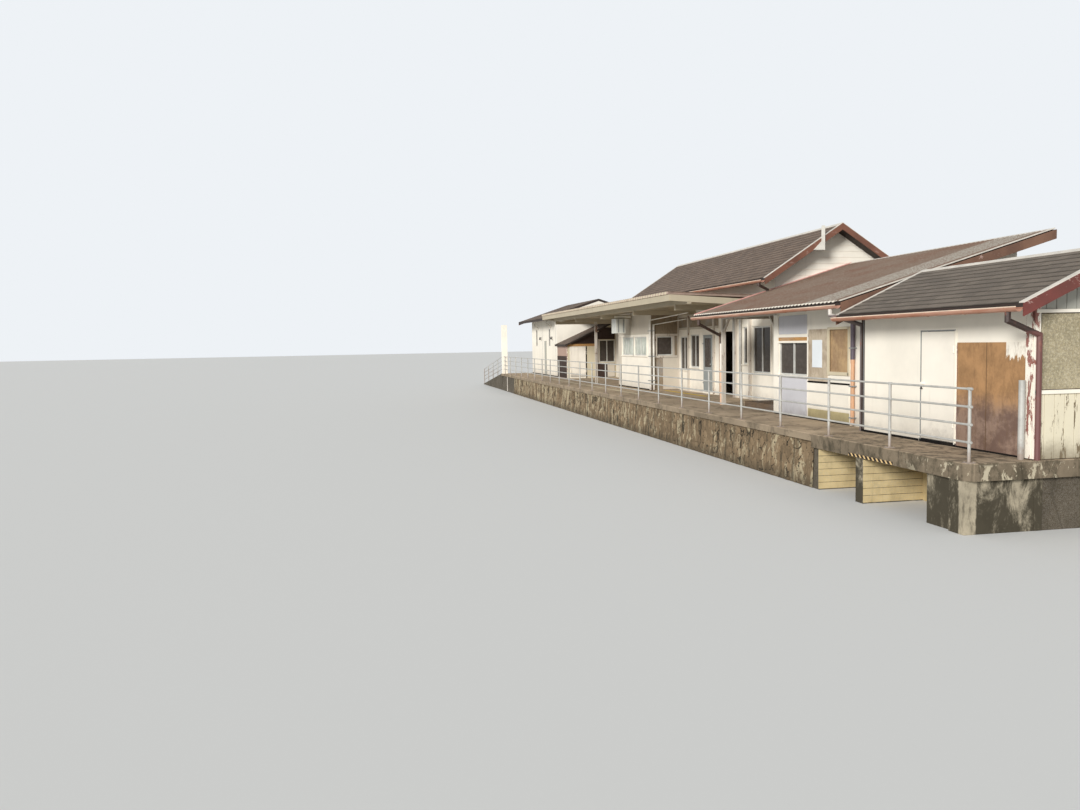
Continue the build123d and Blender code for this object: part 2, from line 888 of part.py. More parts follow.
with BuildPart() as shed_end_wall:
    block(shed_end, (shed_front, shed_doors[0]), (platform_height, shed_head))
    profile([(shed_doors[1], platform_height), (link_front, platform_height),
             (link_front, shed_shape.under(link_front)), (shed_gable_end, shed_shape.under(shed_gable_end)),
             (shed_gable_end, shed_head), (shed_doors[1], shed_head)], shed_end)
    block(shed_end, shed_window, shed_window_heights, mode=Mode.SUBTRACT)
save(shed_end_wall, "shed_end_wall")

with BuildPart() as shed_roof:
    shed_shape.band((shed_start - shed_verge_overhang, annex_start), (shed_shape.eave, link_front),
                    0, shed_roof_thickness)
save(shed_roof, "shed_roof")


# Doors
class Leaf:
    """Hinged leaf in its doorway, measured from its hinge line.

    A run goes from the hinge along the closed leaf and an out goes from the
    hinge away from the wall, so the leaf and the jambs lie at negative outs.
    """

    def __init__(self, hinge, leaf_way, out_way, width, top):
        self.hinge = hinge
        self.leaf_way = leaf_way
        self.out_way = out_way
        self.width = width
        self.bottom = sill_top + door_clearance
        self.top = top - jamb_width - door_clearance
        self.head = top

    def at(self, run, out):
        """Point of the plan for a run and an out."""
        x = along(self.hinge[0]) + self.leaf_way[0] * run + self.out_way[0] * out
        y = inward(self.hinge[1]) + self.leaf_way[1] * run + self.out_way[1] * out
        return x, y

    def box(self, runs, outs, heights, mode=Mode.ADD):
        """Box between runs, outs and heights."""
        x0, y0 = self.at(runs[0], outs[0])
        x1, y1 = self.at(runs[1], outs[1])
        with BuildSketch(Plane.XY.offset(heights[0])) as face:
            area(x0, x1, y0, y1)
        extrude(face.sketch, amount=heights[1] - heights[0], mode=mode)

    def barrel(self, radius, heights, mode=Mode.ADD):
        """Upright cylinder on the hinge line."""
        with BuildSketch(Plane.XY.offset(heights[0])) as face:
            with Locations(self.at(0, 0)):
                Circle(radius)
        extrude(face.sketch, amount=heights[1] - heights[0], mode=mode)

    def hinge_feet(self):
        """Lowest height of the lower and of the upper hinge."""
        stack = 3 * knuckle_height + 2 * knuckle_gap
        return (self.bottom + hinge_offset, self.top - hinge_offset - stack)

    def jamb(self):
        """Jamb on the hinge side with the outer knuckles and the pins."""
        edge = -door_clearance / 2
        self.box((edge - jamb_width, edge), (leaf_face - jamb_proud - wall_thickness, leaf_face),
                 (platform_height, self.head))
        for low in self.hinge_feet():
            upper = low + 2 * (knuckle_height + knuckle_gap)
            for knuckle in (low, upper):
                heights = (knuckle, knuckle + knuckle_height)
                self.barrel(hinge_radius, heights)
                self.box((-hinge_plate_width, 0), (leaf_face, leaf_face + hinge_plate_thickness), heights)
            self.barrel(pin_radius, (low, upper + knuckle_height))

    def panel(self):
        """Leaf with its middle knuckles."""
        edge = door_clearance / 2
        self.box((edge, edge + self.width), (leaf_face - door_thickness, leaf_face), (self.bottom, self.top))
        for low in self.hinge_feet():
            foot = low + knuckle_height + knuckle_gap
            heights = (foot, foot + knuckle_height)
            self.barrel(hinge_radius, heights)
            self.box((0, hinge_plate_width), (leaf_face, leaf_face + hinge_plate_thickness), heights)
            self.barrel(pin_radius + pin_clearance, heights, mode=Mode.SUBTRACT)

    def knob(self):
        """Round knob near the free edge."""
        x, y = self.at(self.width - door_stile / 2, leaf_face)
        outwards = Plane(origin=(x, y, self.bottom + knob_height), z_dir=(*self.out_way, 0))
        with BuildSketch(outwards) as face:
            Circle(knob_radius)
        extrude(face.sketch, amount=knob_reach)


leaf_face = -hinge_radius - hinge_stand_off
sill_top = above(door_sill)
hinge_side = jamb_width + door_clearance / 2
hinge_front = leaf_face - jamb_proud


def leaf_width(opening_width, leaves):
    """Width of each leaf with a clearance on both of its sides."""
    return (opening_width - 2 * jamb_width - (leaves + 1) * door_clearance) / leaves


store_leaf = Leaf((store_doorway.near + hinge_side, near_front + hinge_front), (-1, 0), (0, -1),
                  leaf_width(store_door_width, 1), store_doorway.high)
office_leaf = Leaf((office_doorway.far - hinge_side, hall_front + hinge_front), (1, 0), (0, -1),
                   leaf_width(office_door_width, 1), office_doorway.high)
shed_hinge = shed_start + hinge_front
shed_front_leaf = Leaf((shed_hinge, shed_doors[0] + hinge_side), (0, 1), (1, 0),
                       leaf_width(shed_door_width, 2), shed_head)
shed_back_leaf = Leaf((shed_hinge, shed_doors[1] - hinge_side), (0, -1), (1, 0),
                      leaf_width(shed_door_width, 2), shed_head)

with BuildPart() as near_door:
    store_leaf.panel()
    store_leaf.knob()
save(near_door, "near_door")

pane_heights = (office_leaf.bottom + door_lock_rail, office_leaf.top - door_stile)
pane_runs = (door_clearance / 2 + door_stile, door_clearance / 2 + office_leaf.width - door_stile)

with BuildPart() as office_door:
    office_leaf.panel()
    office_leaf.box(pane_runs, (leaf_face - door_thickness, leaf_face), pane_heights, mode=Mode.SUBTRACT)
    office_leaf.knob()
save(office_door, "office_door")

with BuildPart() as office_door_glass:
    back_of_pane = leaf_face - (door_thickness + glass_thickness) / 2
    office_leaf.box(pane_runs, (back_of_pane, back_of_pane + glass_thickness), pane_heights)
save(office_door_glass, "office_door_glass")

with BuildPart() as shed_front_door:
    shed_front_leaf.panel()
save(shed_front_door, "shed_front_door")

with BuildPart() as shed_back_door:
    shed_back_leaf.panel()
save(shed_back_door, "shed_back_door")

with BuildPart() as door_jambs:
    for leaf in (store_leaf, office_leaf, shed_front_leaf, shed_back_leaf):
        leaf.jamb()
    block((store_doorway.far - jamb_width, store_doorway.far),
          (near_front - jamb_proud, near_front + wall_thickness), (platform_height, store_doorway.high))
    block((office_doorway.near, office_doorway.near + jamb_width),
          (hall_front - jamb_proud, hall_front + wall_thickness), (platform_height, office_doorway.high))
save(door_jambs, "door_jambs")

with BuildPart() as door_heads:
    for opening, place in ((store_doorway, near_front), (office_doorway, hall_front)):
        for heights in ((opening.high - jamb_width, opening.high), (platform_height, sill_top)):
            block((opening.near + jamb_width, opening.far - jamb_width),
                  (place - jamb_proud, place + wall_thickness), heights)
    for heights in ((shed_head - jamb_width, shed_head), (platform_height, sill_top)):
        block((shed_start - jamb_proud, shed_start + wall_thickness),
              (shed_doors[0] + jamb_width, shed_doors[1] - jamb_width), heights)
save(door_heads, "door_heads")

# Windows
glazing = [(sash_window, middle_front)]
glazing += [(window, hall_front) for window in (first_window, narrow_window, curtain_window, last_window)]
glazing += [(near_bay_window, bay_front), (far_bay_window, bay_front)]
glazing += [(near_slit_window, annex_front), (far_slit_window, annex_front)]
glass_inset = frame_setback + (frame_depth - glass_thickness) / 2
side_glazing = [(bay_near, (bay_side_near, bay_side_far), (near_bay_window.low, near_bay_window.high)),
                (shed_start, shed_window, shed_window_heights)]

with BuildPart() as window_frames:
    for window, place in glazing:
        with BuildSketch(elevation(place + frame_setback)):
            window.cut(mode=Mode.ADD)
            for near, far in window.panes():
                area(along(near), along(far), window.low + frame_width, window.high - frame_width,
                     mode=Mode.SUBTRACT)
        extrude(amount=-frame_depth)
    for station, edges, (low, high) in side_glazing:
        frame_ends = (station + frame_setback, station + frame_setback + frame_depth)
        block(frame_ends, edges, (low, high))
        for pane in panes(*edges):
            block(frame_ends, pane, (low + frame_width, high - frame_width), mode=Mode.SUBTRACT)
save(window_frames, "window_frames")

with BuildPart() as window_glass:
    for window, place in glazing:
        for near, far in window.panes():
            block((near, far), (place + glass_inset, place + glass_inset + glass_thickness),
                  (window.low + frame_width, window.high - frame_width))
    for station, edges, (low, high) in side_glazing:
        for pane in panes(*edges):
            block((station + glass_inset, station + glass_inset + glass_thickness), pane,
                  (low + frame_width, high - frame_width))
save(window_glass, "window_glass")

# Walls and trim shared by the parts of the building
with BuildPart() as lintels:
    lintel(store_doorway, near_front, near_wall_top)
    for opening in (doorway, office_doorway, bay_doorway):
        lintel(opening, hall_front, hall_wall_top)
save(lintels, "lintels")

with BuildPart() as back_walls:
    front_wall(near_inner, near_back - wall_thickness, near_shape.under(near_back))
    front_wall((room_front[0], hall_start), middle_back - wall_thickness,
               middle_shape.under(middle_back - wall_thickness))
    front_wall(hall_inner, hall_back - wall_thickness, hall_shape.under(hall_back))
save(back_walls, "back_walls")

with BuildPart() as bargeboards:
    near_shape.verge_boards(near_roof_ends[0] - board_thickness)
    near_shape.verge_boards(near_roof_ends[1])
    middle_shape.band((middle_roof_start - board_thickness, middle_roof_start),
                      (middle_shape.eave, middle_top_edge), 0, board_depth)
    hall_shape.verge_boards(hall_roof_ends[0] - board_thickness)
    hall_shape.verge_boards(hall_roof_ends[1])
    annex_shape.verge_boards(annex_roof_end)
save(bargeboards, "bargeboards")

with BuildPart() as metal_caps:
    near_shape.caps((near_roof_ends[0] - board_thickness, near_roof_ends[1] + board_thickness))
    hall_shape.caps((hall_roof_ends[0] - board_thickness, hall_roof_ends[1] + board_thickness))
    middle_shape.band((hall_start - flashing_width, hall_start), (hall_front - cap_width, middle_top_edge),
                      flashing_height, 0)
save(metal_caps, "metal_caps")


# Gutters and pipes
def gutter(stations, place, rim):
    """Half-round gutter with its middle at a place and its rim at a height."""
    with BuildSketch(cross_section(stations[0])) as face:
        with Locations((inward(place), rim)):
            Circle(gutter_radius)
            Circle(gutter_radius - gutter_wall, mode=Mode.SUBTRACT)
        area(inward(place - gutter_width), inward(place + gutter_width), rim, rim + gutter_width,
             mode=Mode.SUBTRACT)
    extrude(face.sketch, amount=along(stations[1]) - along(stations[0]))


store_gutter = near_shape.eave - gutter_radius
middle_gutter = middle_shape.eave - gutter_radius
hall_gutter = hall_shape.eave - gutter_radius
hall_rim = hall_eave_height - gutter_drop

with BuildPart() as gutters:
    gutter(near_roof_ends, store_gutter, near_eave_height - gutter_drop)
    gutter((middle_roof_start, hall_start), middle_gutter, middle_eave_height - gutter_drop)
    gutter(hall_roof_ends, hall_gutter, hall_rim)
    gutter(hall_roof_ends, hall_shape.back_eave + gutter_radius, hall_rim)
save(gutters, "gutters")


def downpipe(outlet, wall, foot, leg):
    """Pipe from a gutter's underside that slopes to the wall and runs down it."""
    (start, place, height), (end, wall_place) = outlet, wall
    elbow = height - leg
    reach = ((end - start) ** 2 + (wall_place - place) ** 2) ** 0.5
    low = elbow - pipe_slope * reach
    route = [(start, place, height), (start, place, elbow), (end, wall_place, low), (end, wall_place, foot)]
    with BuildLine() as line:
        Polyline(*[(along(s), inward(p), z) for s, p, z in route])
    with BuildSketch(Plane.XY.offset(height)) as face:
        with Locations((along(start), inward(place))):
            RegularPolygon(pipe_radius, 8, major_radius=False, rotation=22.5)
    sweep(face.sketch, path=line.wires()[0], transition=Transition.RIGHT)


store_bottom = near_eave_height - gutter_drop - gutter_radius
middle_bottom = middle_eave_height - gutter_drop - gutter_radius
corner_place = near_front + pipe_radius

with BuildPart() as downpipes:
    downpipe((near_roof_ends[0] + store_outlet, store_gutter, store_bottom),
             (near_start - pipe_radius, corner_place), platform_height, pipe_elbow)
    downpipe((middle_roof_start + middle_outlet, middle_gutter, middle_bottom),
             (near_end + pipe_radius, corner_place), platform_height, pipe_elbow)
    downpipe((hall_start - middle_far_outlet, middle_gutter, middle_bottom),
             (corner_post[1] + pipe_radius + pipe_stand_off, middle_front + pipe_stand_off),
             platform_height, pipe_elbow)
    downpipe((hall_start - hall_outlet, hall_gutter, hall_rim - gutter_radius),
             (hall_start - hall_pipe_corner, hall_pipe_place),
             middle_shape.top(hall_pipe_place + pipe_radius), hall_pipe_elbow)
save(downpipes, "downpipes")
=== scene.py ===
"""Country railway station building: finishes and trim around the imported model.

Every length is in metres of the 1:2 model. A station is measured from the near
end of the platform, a place inwards from the platform's edge on the track side.
"""
import functools

import bpy
import numpy as np
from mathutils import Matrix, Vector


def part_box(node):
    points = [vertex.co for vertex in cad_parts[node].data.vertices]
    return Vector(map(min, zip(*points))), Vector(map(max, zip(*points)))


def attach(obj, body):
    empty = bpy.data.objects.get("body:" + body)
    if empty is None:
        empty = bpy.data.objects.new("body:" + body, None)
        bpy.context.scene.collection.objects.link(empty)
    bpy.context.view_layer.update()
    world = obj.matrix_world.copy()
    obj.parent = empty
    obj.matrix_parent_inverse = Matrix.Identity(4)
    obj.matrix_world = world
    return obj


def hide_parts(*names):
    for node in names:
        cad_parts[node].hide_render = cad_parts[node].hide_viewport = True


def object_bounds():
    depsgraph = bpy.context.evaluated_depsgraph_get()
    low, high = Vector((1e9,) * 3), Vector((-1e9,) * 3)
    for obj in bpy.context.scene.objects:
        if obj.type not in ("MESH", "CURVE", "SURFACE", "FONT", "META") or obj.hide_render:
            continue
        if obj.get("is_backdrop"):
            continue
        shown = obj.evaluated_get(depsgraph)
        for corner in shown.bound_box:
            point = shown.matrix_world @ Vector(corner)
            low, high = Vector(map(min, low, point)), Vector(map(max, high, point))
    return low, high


bl_info = {
    "name": "Country railway station",
    "version": (1, 0, 0),
    "blender": (4, 5, 0),
    "location": "View3D > Sidebar > Station",
    "description": "Roof tiles, boards, stones and paint for a small railway station building",
    "category": "Object",
}

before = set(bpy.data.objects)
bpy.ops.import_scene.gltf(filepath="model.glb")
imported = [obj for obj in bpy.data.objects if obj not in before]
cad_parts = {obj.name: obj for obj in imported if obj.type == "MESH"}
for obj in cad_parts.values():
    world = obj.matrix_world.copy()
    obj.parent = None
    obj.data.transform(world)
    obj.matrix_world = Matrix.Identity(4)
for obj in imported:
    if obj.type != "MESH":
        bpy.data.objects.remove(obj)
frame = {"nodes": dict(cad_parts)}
LOW, HIGH = (np.array(corner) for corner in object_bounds())
NEAR_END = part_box("near_slab")[1].x
UP = (0.0, 0.0, 1.0)
ALONG = (1.0, 0.0, 0.0)
ACROSS = (0.0, 1.0, 0.0)
EVEN = (1, 1, 1)
UPRIGHT = (8, 8, 0.6)
DECK_TOP = 0.530
BOARD_EASE = 0.08


def x_of(station):
    """X of a station along the building."""
    return NEAR_END - station


def y_of(place):
    """Y of a place across the building."""
    return LOW[1] + place


def tint(code):
    """Linear colour of a six-digit colour code."""
    parts = [int(code[i:i + 2], 16) / 255 for i in (0, 2, 4)]
    return tuple(p / 12.92 if p <= 0.04045 else ((p + 0.055) / 1.055) ** 2.4 for p in parts)


def colour(name, text, code):
    """Colour property for a group of sizes and colours."""
    return bpy.props.FloatVectorProperty(name=name, description=text, subtype="COLOR", min=0.0, max=1.0,
                                         default=tint(code))


def length(name, text, value):
    """Length property in metres."""
    return bpy.props.FloatProperty(name=name, description=text, unit="LENGTH", default=value)


def level(name, text, value):
    """Property that is a plain number."""
    return bpy.props.FloatProperty(name=name, description=text, default=value)


def turn(name, text, value):
    """Rotation property."""
    return bpy.props.FloatVectorProperty(name=name, description=text, subtype="EULER", default=value)


class StageSettings(bpy.types.PropertyGroup):
    """Camera, floor and lamps."""
    setback: length("Setback", "Distance of the camera beyond the near end of the platform", 5.65)
    track_side: length("Track side", "Distance of the camera from the platform's edge", 4.225)
    eye_height: length("Eye height", "Height of the camera over the ground", 1.45)
    aim: turn("Aim", "Rotation of the camera", (1.502255, 0.017972, 1.378191))
    lens: level("Lens", "Focal length in millimetres on a 36 mm sensor", 29.61)
    floor_colour: colour("Floor", "Colour of the floor", "d9d8d4")
    sky_colour: colour("Sky", "Colour of the soft light from all round", "eef2f6")
    sky_strength: level("Sky strength", "Level of the soft light", 0.57)
    sun_strength: level("Sun strength", "Level of the main lamp", 3.45)
    sun_aim: turn("Sun aim", "Rotation of the main lamp", (1.225, 0.0, 0.78))


class RoofSettings(bpy.types.PropertyGroup):
    """Slates, their courses and the metal sheet."""
    slate_width: length("Slate width", "Width of a slate", 0.125)
    course: length("Course", "Visible length of a slate", 0.092)
    thickness: length("Thickness", "Thickness of a slate", 0.0045)
    store_slate: colour("Store slate", "Slates of the near wing", "685e53")
    brown_slate: colour("Brown slate", "Slates of the other roofs", "6a5a4d")
    ribbed_roof: colour("Ribbed roof", "Ribbed sheet of the middle wing", "6e5c4e")
    rib_pitch: length("Rib pitch", "Distance between the ribs of the middle wing's roof", 0.080)
    rib_height: length("Rib height", "Height of those ribs", 0.016)
    cap: colour("Cap", "Metal caps on ridges and verges", "cdc5b8")
    sheet: colour("Sheet", "Folded sheet of the canopy", "b9a294")
    sheet_pitch: length("Sheet pitch", "Distance between the folds of the canopy's sheet", 0.130)
    sheet_wave: length("Sheet wave", "Height of those folds", 0.042)


class WallSettings(bpy.types.PropertyGroup):
    """Boards and paint of the walls."""
    board: length("Board", "Visible height of a clapboard", 0.088)
    board_thickness: length("Board thickness", "Thickness of a clapboard at its lower edge", 0.009)
    white: colour("White", "White wall paint", "f0e8d8")
    cream: colour("Cream", "Cream paint of the shed and of frames", "ccc0a4")
    olive: colour("Olive", "Panel in the near gable", "a59c86")
    maroon: colour("Maroon", "Bargeboards of the near wing", "743e38")
    timber: colour("Timber", "Bare brown timber", "6f5b47")
    brick: colour("Brick red", "Upper part of the shed's front", "a88c7c")


class StoneSettings(bpy.types.PropertyGroup):
    """Concrete and stone of the platform."""
    stone_width: length("Stone width", "Middle width of a wall stone", 0.125)
    stone_height: length("Stone height", "Middle height of a wall stone", 0.078)
    joint: length("Joint", "Width of the joints between the stones", 0.012)
    relief: length("Relief", "How far the stones stand proud of their joints", 0.011)
    concrete: colour("Concrete", "Concrete of the platform", "a5937c")
    stone: colour("Stone", "Stones of the platform wall", "75634c")
    pale_stone: colour("Pale stone", "Pale patches on the platform wall", "baab8c")
    moss: colour("Moss", "Dark growth on stone and concrete", "464033")
    form_board: colour("Form board", "Concrete of the recess wall", "c2b290")


class TrimSettings(bpy.types.PropertyGroup):
    """Gutters, pipes, railing, doors and windows."""
    hook_spacing: length("Hook spacing", "Distance between gutter hooks", 0.46)
    post_spacing: length("Post spacing", "Distance between the railing's posts", 1.0)
    post_radius: length("Post radius", "Radius of the railing's posts", 0.012)
    rail_radius: length("Rail radius", "Radius of the rails", 0.0085)
    lowest_rail: length("Lowest rail", "Height of the lowest rail over the platform", 0.15)
    rail_spacing: length("Rail spacing", "Distance between the rails", 0.13)
    gutter: colour("Gutter", "Gutters", "a96d50")
    pipe: colour("Pipe", "Downpipes", "6a4540")
    rail: colour("Railing", "Railing", "b3b0a8")
    frame: colour("Frame", "Window frames", "cfcdc5")
    glass: colour("Glass", "Window glass", "574f48")
    door: colour("Door", "Doors", "efe7d8")


def settings(name):
    """One of the scene's groups of sizes and colours."""
    return getattr(bpy.context.scene, "station_" + name)


def shade(base, amount):
    """Colour made darker or lighter by a factor."""
    return tuple(min(1.0, part * amount) for part in base)


def hue(name):
    """Colour of a setting by its name, or of a six-digit code."""
    for group in map(settings, GROUPS):
        if name in group.bl_rna.properties:
            return tuple(getattr(group, name))
    return tint(name)


class Finish:
    """Material tree of one finish: a tone laid on in layers, with short calls for shared nodes."""

    def __init__(self, name, roughness=0.8, metallic=0.0, specular=0.3):
        self.material = bpy.data.materials.new(name)
        self.material.use_nodes = True
        self.nodes = self.material.node_tree.nodes
        self.links = self.material.node_tree.links
        self.shader = self.nodes["Principled BSDF"]
        self.shader.inputs["Roughness"].default_value = roughness
        self.shader.inputs["Metallic"].default_value = metallic
        self.shader.inputs["Specular IOR Level"].default_value = specular
        self.point = self.add("ShaderNodeTexCoord").outputs["Object"]
        self.axes = self.add("ShaderNodeSeparateXYZ", Vector=self.point).outputs
        self.tone = None

    def feed(self, socket, value):
        """Link a socket or set its value."""
        if isinstance(value, bpy.types.NodeSocket):
            self.links.new(value, socket)
        elif socket.type == "RGBA" and len(value) == 3:
            socket.default_value = (*value, 1.0)
        else:
            socket.default_value = value

    def add(self, kind, **inputs):
        """New node with its inputs given by name."""
        node = self.nodes.new(kind)
        for name, value in inputs.items():
            self.feed(node.inputs[name.replace("_", " ")], value)
        return node

    def stretched(self, stretch):
        """Object coordinates multiplied by three numbers."""
        return self.add("ShaderNodeMapping", Vector=self.point, Scale=stretch).outputs["Vector"]

    def noise(self, scale, stretch=EVEN, detail=5.0, roughness=0.6, distortion=0.0):
        """Cloudy pattern between 0 and 1."""
        return self.add("ShaderNodeTexNoise", Vector=self.stretched(stretch), Scale=scale, Detail=detail,
                        Roughness=roughness, Distortion=distortion).outputs["Fac"]

    def cells(self, scale, stretch=EVEN, feature="F1"):
        """Distance from the middles of random cells, or from their borders."""
        node = self.add("ShaderNodeTexVoronoi", Vector=self.stretched(stretch), Scale=scale)
        node.feature = feature
        return node.outputs["Distance"]

    def cracks(self, scale, stretch):
        """Distance from the borders of random cells."""
        return self.cells(scale, stretch, "DISTANCE_TO_EDGE")

    def fade(self, value, low, high, start=0.0, end=1.0):
        """Value eased from start at low to end at high."""
        node = self.add("ShaderNodeMapRange", Value=value, From_Min=low, From_Max=high, To_Min=start,
                        To_Max=end)
        node.interpolation_type = "SMOOTHSTEP"
        return node.outputs["Result"]

    def math(self, operation, first, second=0.0):
        """Arithmetic on two values."""
        node = self.nodes.new("ShaderNodeMath")
        node.operation = operation
        self.feed(node.inputs[0], first)
        self.feed(node.inputs[1], second)
        return node.outputs["Value"]

    def plus(self, first, second, amount=1.0):
        """Sum of a value and a share of another."""
        return self.math("ADD", first, second if amount == 1.0 else self.times(second, amount))

    def times(self, first, second):
        """Product of two values."""
        return self.math("MULTIPLY", first, second)

    def mix(self, factor, first, second, mode="MIX"):
        """Colour between two colours, by the mix node's sockets for a factor and for colours."""
        node = self.nodes.new("ShaderNodeMix")
        node.data_type = "RGBA"
        node.blend_type = mode
        self.feed(node.inputs[0], factor)
        self.feed(node.inputs[6], first)
        self.feed(node.inputs[7], second)
        return node.outputs[2]

    def named(self, attribute):
        """Value of an attribute of the mesh."""
        node = self.nodes.new("ShaderNodeAttribute")
        node.attribute_name = attribute
        return node.outputs["Fac"]

    def between(self, axis, low, high, soft=0.004):
        """1 between two coordinates along an axis (X, Y or Z) and 0 outside."""
        value = self.axes[axis]
        begun = self.fade(value, low - soft, low + soft)
        return self.times(begun, self.fade(value, high - soft, high + soft, 1.0, 0.0))

    def start(self, base, dark, light, factor):
        """Begin the tone between a darker and a lighter shade of a colour."""
        self.tone = self.mix(factor, shade(base, dark), shade(base, light))

    def cover(self, over, factor, mode="MIX"):
        """Lay a colour over the tone by a factor."""
        self.tone = self.mix(factor, self.tone, over, mode)

    def layer(self, over, *fading):
        """Lay a colour over the tone where a value fades in or out."""
        self.cover(over, self.fade(*fading))

    def finish(self, height=None, strength=0.4, depth=0.002, roughness=None):
        """Feed the tone, the bump and the roughness, and hand over the material."""
        self.feed(self.shader.inputs["Base Color"], self.tone)
        if roughness is not None:
            self.feed(self.shader.inputs["Roughness"], roughness)
        if height is not None:
            bump = self.add("ShaderNodeBump", Height=height)
            bump.inputs["Strength"].default_value = strength
            bump.inputs["Distance"].default_value = depth
            self.feed(self.shader.inputs["Normal"], bump.outputs["Normal"])
        return self.material


def paint(name, base, under="5d4c3d", peel=0.0, streak=0.2, roughness=0.62, grain=EVEN, grime=0.0):
    """Old paint: cloudy tone, rain streaks, fine grain, flakes where it has peeled, dirt at the foot."""
    f = Finish(name, roughness)
    under = hue(under)
    f.start(base, 0.93, 1.04, f.fade(f.noise(1.7, detail=4.0), 0.3, 0.7))
    f.layer(shade(under, 0.9), f.noise(9.0, (1, 1, 0.09), 6.0, 0.65), 0.56, 0.80, 0.0, streak)
    if grime > 0.0:
        splash = f.plus(f.axes["Z"], f.noise(6.0, detail=8.0, roughness=0.7), -0.30)
        f.layer(shade(under, 0.75), splash, 0.38, 0.56, grime, 0.0)
    fine = height = f.noise(150.0, grain, 4.0)
    if peel > 0.0:
        bare = f.fade(f.noise(15.0, grain, 8.0, 0.72, 0.4), 0.74 - peel, 0.76 - peel)
        f.cover(f.mix(fine, shade(under, 0.7), shade(under, 1.25)), bare)
        height = f.math("SUBTRACT", fine, bare)
    return f.finish(height, 0.35, 0.0015)


def timber(name, base, stretch=(0.6, 8, 8), grey=0.3):
    """Bare timber: grain drawn out along the piece, and patches greyed by the weather."""
    f = Finish(name, 0.72)
    grain = f.noise(14.0, stretch, 9.0, 0.7, 0.8)
    f.start(base, 0.60, 1.25, f.fade(grain, 0.3, 0.72))
    greyed = (sum(base) / 3 * 1.5,) * 3
    f.layer(greyed, f.noise(3.0, detail=4.0), 0.45, 0.75, 0.0, grey)
    return f.finish(grain, 0.5)


def concrete(name, base, dark="moss", growth=0.4, drip=0.35, cracks=0.0, speck=0.0):
    """Weathered concrete: cloudy tone, sand, pores, dark growth, stains down it, specks and cracks."""
    f = Finish(name, 0.9, specular=0.2)
    dark = hue(dark)
    f.start(base, 0.72, 1.12, f.fade(f.noise(2.3, detail=6.0, roughness=0.65), 0.28, 0.72))
    sand = f.noise(190.0, detail=3.0)
    f.cover(shade(base, 1.25), f.fade(sand, 0.35, 0.65), "SOFT_LIGHT")
    f.layer(dark, f.noise(7.0, (1, 1, 0.12), 7.0, 0.7, 0.6), 0.52, 0.78, 0.0, drip)
    f.layer(dark, f.noise(5.5, detail=9.0, roughness=0.75), 0.50, 0.64, 0.0, growth)
    if speck > 0.0:
        spots = f.noise(62.0, detail=6.0, roughness=0.8)
        f.layer(shade(base, 0.55), spots, 0.52, 0.58, 0.0, speck)
        f.layer(shade(base, 1.45), spots, 0.48, 0.42, 0.0, speck)
    if cracks > 0.0:
        f.layer(shade(dark, 0.5), f.cracks(2.6, (1, 1.4, 1)), 0.010, 0.022, cracks, 0.0)
    pores = f.fade(f.cells(140.0), 0.05, 0.25)
    return f.finish(f.plus(sand, pores, 0.5), 0.45)


def slate(name, base):
    """Slates: each its own tone, a dark lower edge that is partly painted shadow along each course and
    partly weathering, worn paler patches, fine grain and specks of growth.
    """
    f = Finish(name, 0.8)
    f.start(base, 0.80, 1.16, f.named("tone"))
    f.layer(shade(base, 1.4), f.noise(4.0, (0.5, 1, 1), 7.0, 0.7), 0.40, 0.75, 0.0, 0.45)
    f.layer(shade(hue("moss"), 1.25), f.noise(60.0, detail=6.0, roughness=0.75), 0.58, 0.68, 0.0, 0.5)
    # Dark lower edge of each slate: partly painted shadow along the course, partly weathered edge.
    f.layer(shade(base, 0.35), f.named("tail"), 0.80, 0.90, 0.0, 0.75)
    return f.finish(f.noise(220.0, detail=3.0), 0.4, 0.0012)


def ribbed(name, base):
    """Ribbed roof: crests paler than troughs, rust, a lichened strip near its end, dark at the eave."""
    f = Finish(name, 0.72)
    crest = f.named("crest")
    f.start(base, 0.72, 1.18, f.fade(crest, 0.1, 0.9))
    f.layer(hue("6b4836"), f.noise(2.2, (0.6, 1, 1), 6.0, 0.65), 0.42, 0.66, 0.0, 0.6)
    lichen = f.noise(55.0, detail=6.0, roughness=0.75)
    f.layer(hue("8f8274"), lichen, 0.50, 0.60, 0.0, 0.45)
    strip = f.between("X", x_of(3.30), x_of(2.66), 0.03)
    f.cover(hue("9d968a"), f.times(strip, f.fade(lichen, 0.42, 0.56, 0.25, 1.0)))
    ends = f.mix(f.fade(crest, 0.74, 0.86), hue("2b2420"), hue("e2d8ca"))
    f.layer(ends, f.named("tail"), 0.45, 0.55)
    return f.finish(lichen, 0.3, 0.0012)


def metal(name, base, rust="6e3a24", rusted=0.15, roughness=0.45, metallic=0.0, foot=0.0):
    """Painted or bare sheet metal: faded patches, dents, spots of rust and, if wanted, rust at the foot."""
    f = Finish(name, roughness, metallic, 0.4)
    rust = hue(rust)
    faded = f.noise(8.0)
    f.start(base, 0.85, 1.12, f.fade(faded, 0.3, 0.7))
    spot = f.noise(42.0, (0.6, 1, 1), 8.0, 0.75)
    corroded = f.mix(faded, rust, shade(rust, 1.8))
    f.layer(corroded, spot, 0.66 - rusted * 0.4, 0.72 - rusted * 0.4, 0.0, 0.85)
    if foot > 0.0:
        f.layer(shade(rust, 1.1), f.plus(f.axes["Z"], spot, -0.22), 0.43, 0.56, foot, 0.0)
    dull = f.fade(spot, 0.4, 0.7, roughness - 0.08, roughness + 0.25)
    return f.finish(f.plus(spot, faded), 0.2, 0.0012, dull)


def glass(name, base):
    """Window glass over dark rooms, slightly wavy and dusty."""
    f = Finish(name, 0.06, specular=0.3)
    f.shader.inputs["Transmission Weight"].default_value = 0.35
    f.shader.inputs["IOR"].default_value = 1.2
    f.start(base, 1.0, 1.5, f.fade(f.noise(18.0, detail=6.0), 0.4, 0.8))
    return f.finish(f.noise(5.0, detail=2.0), 0.08)


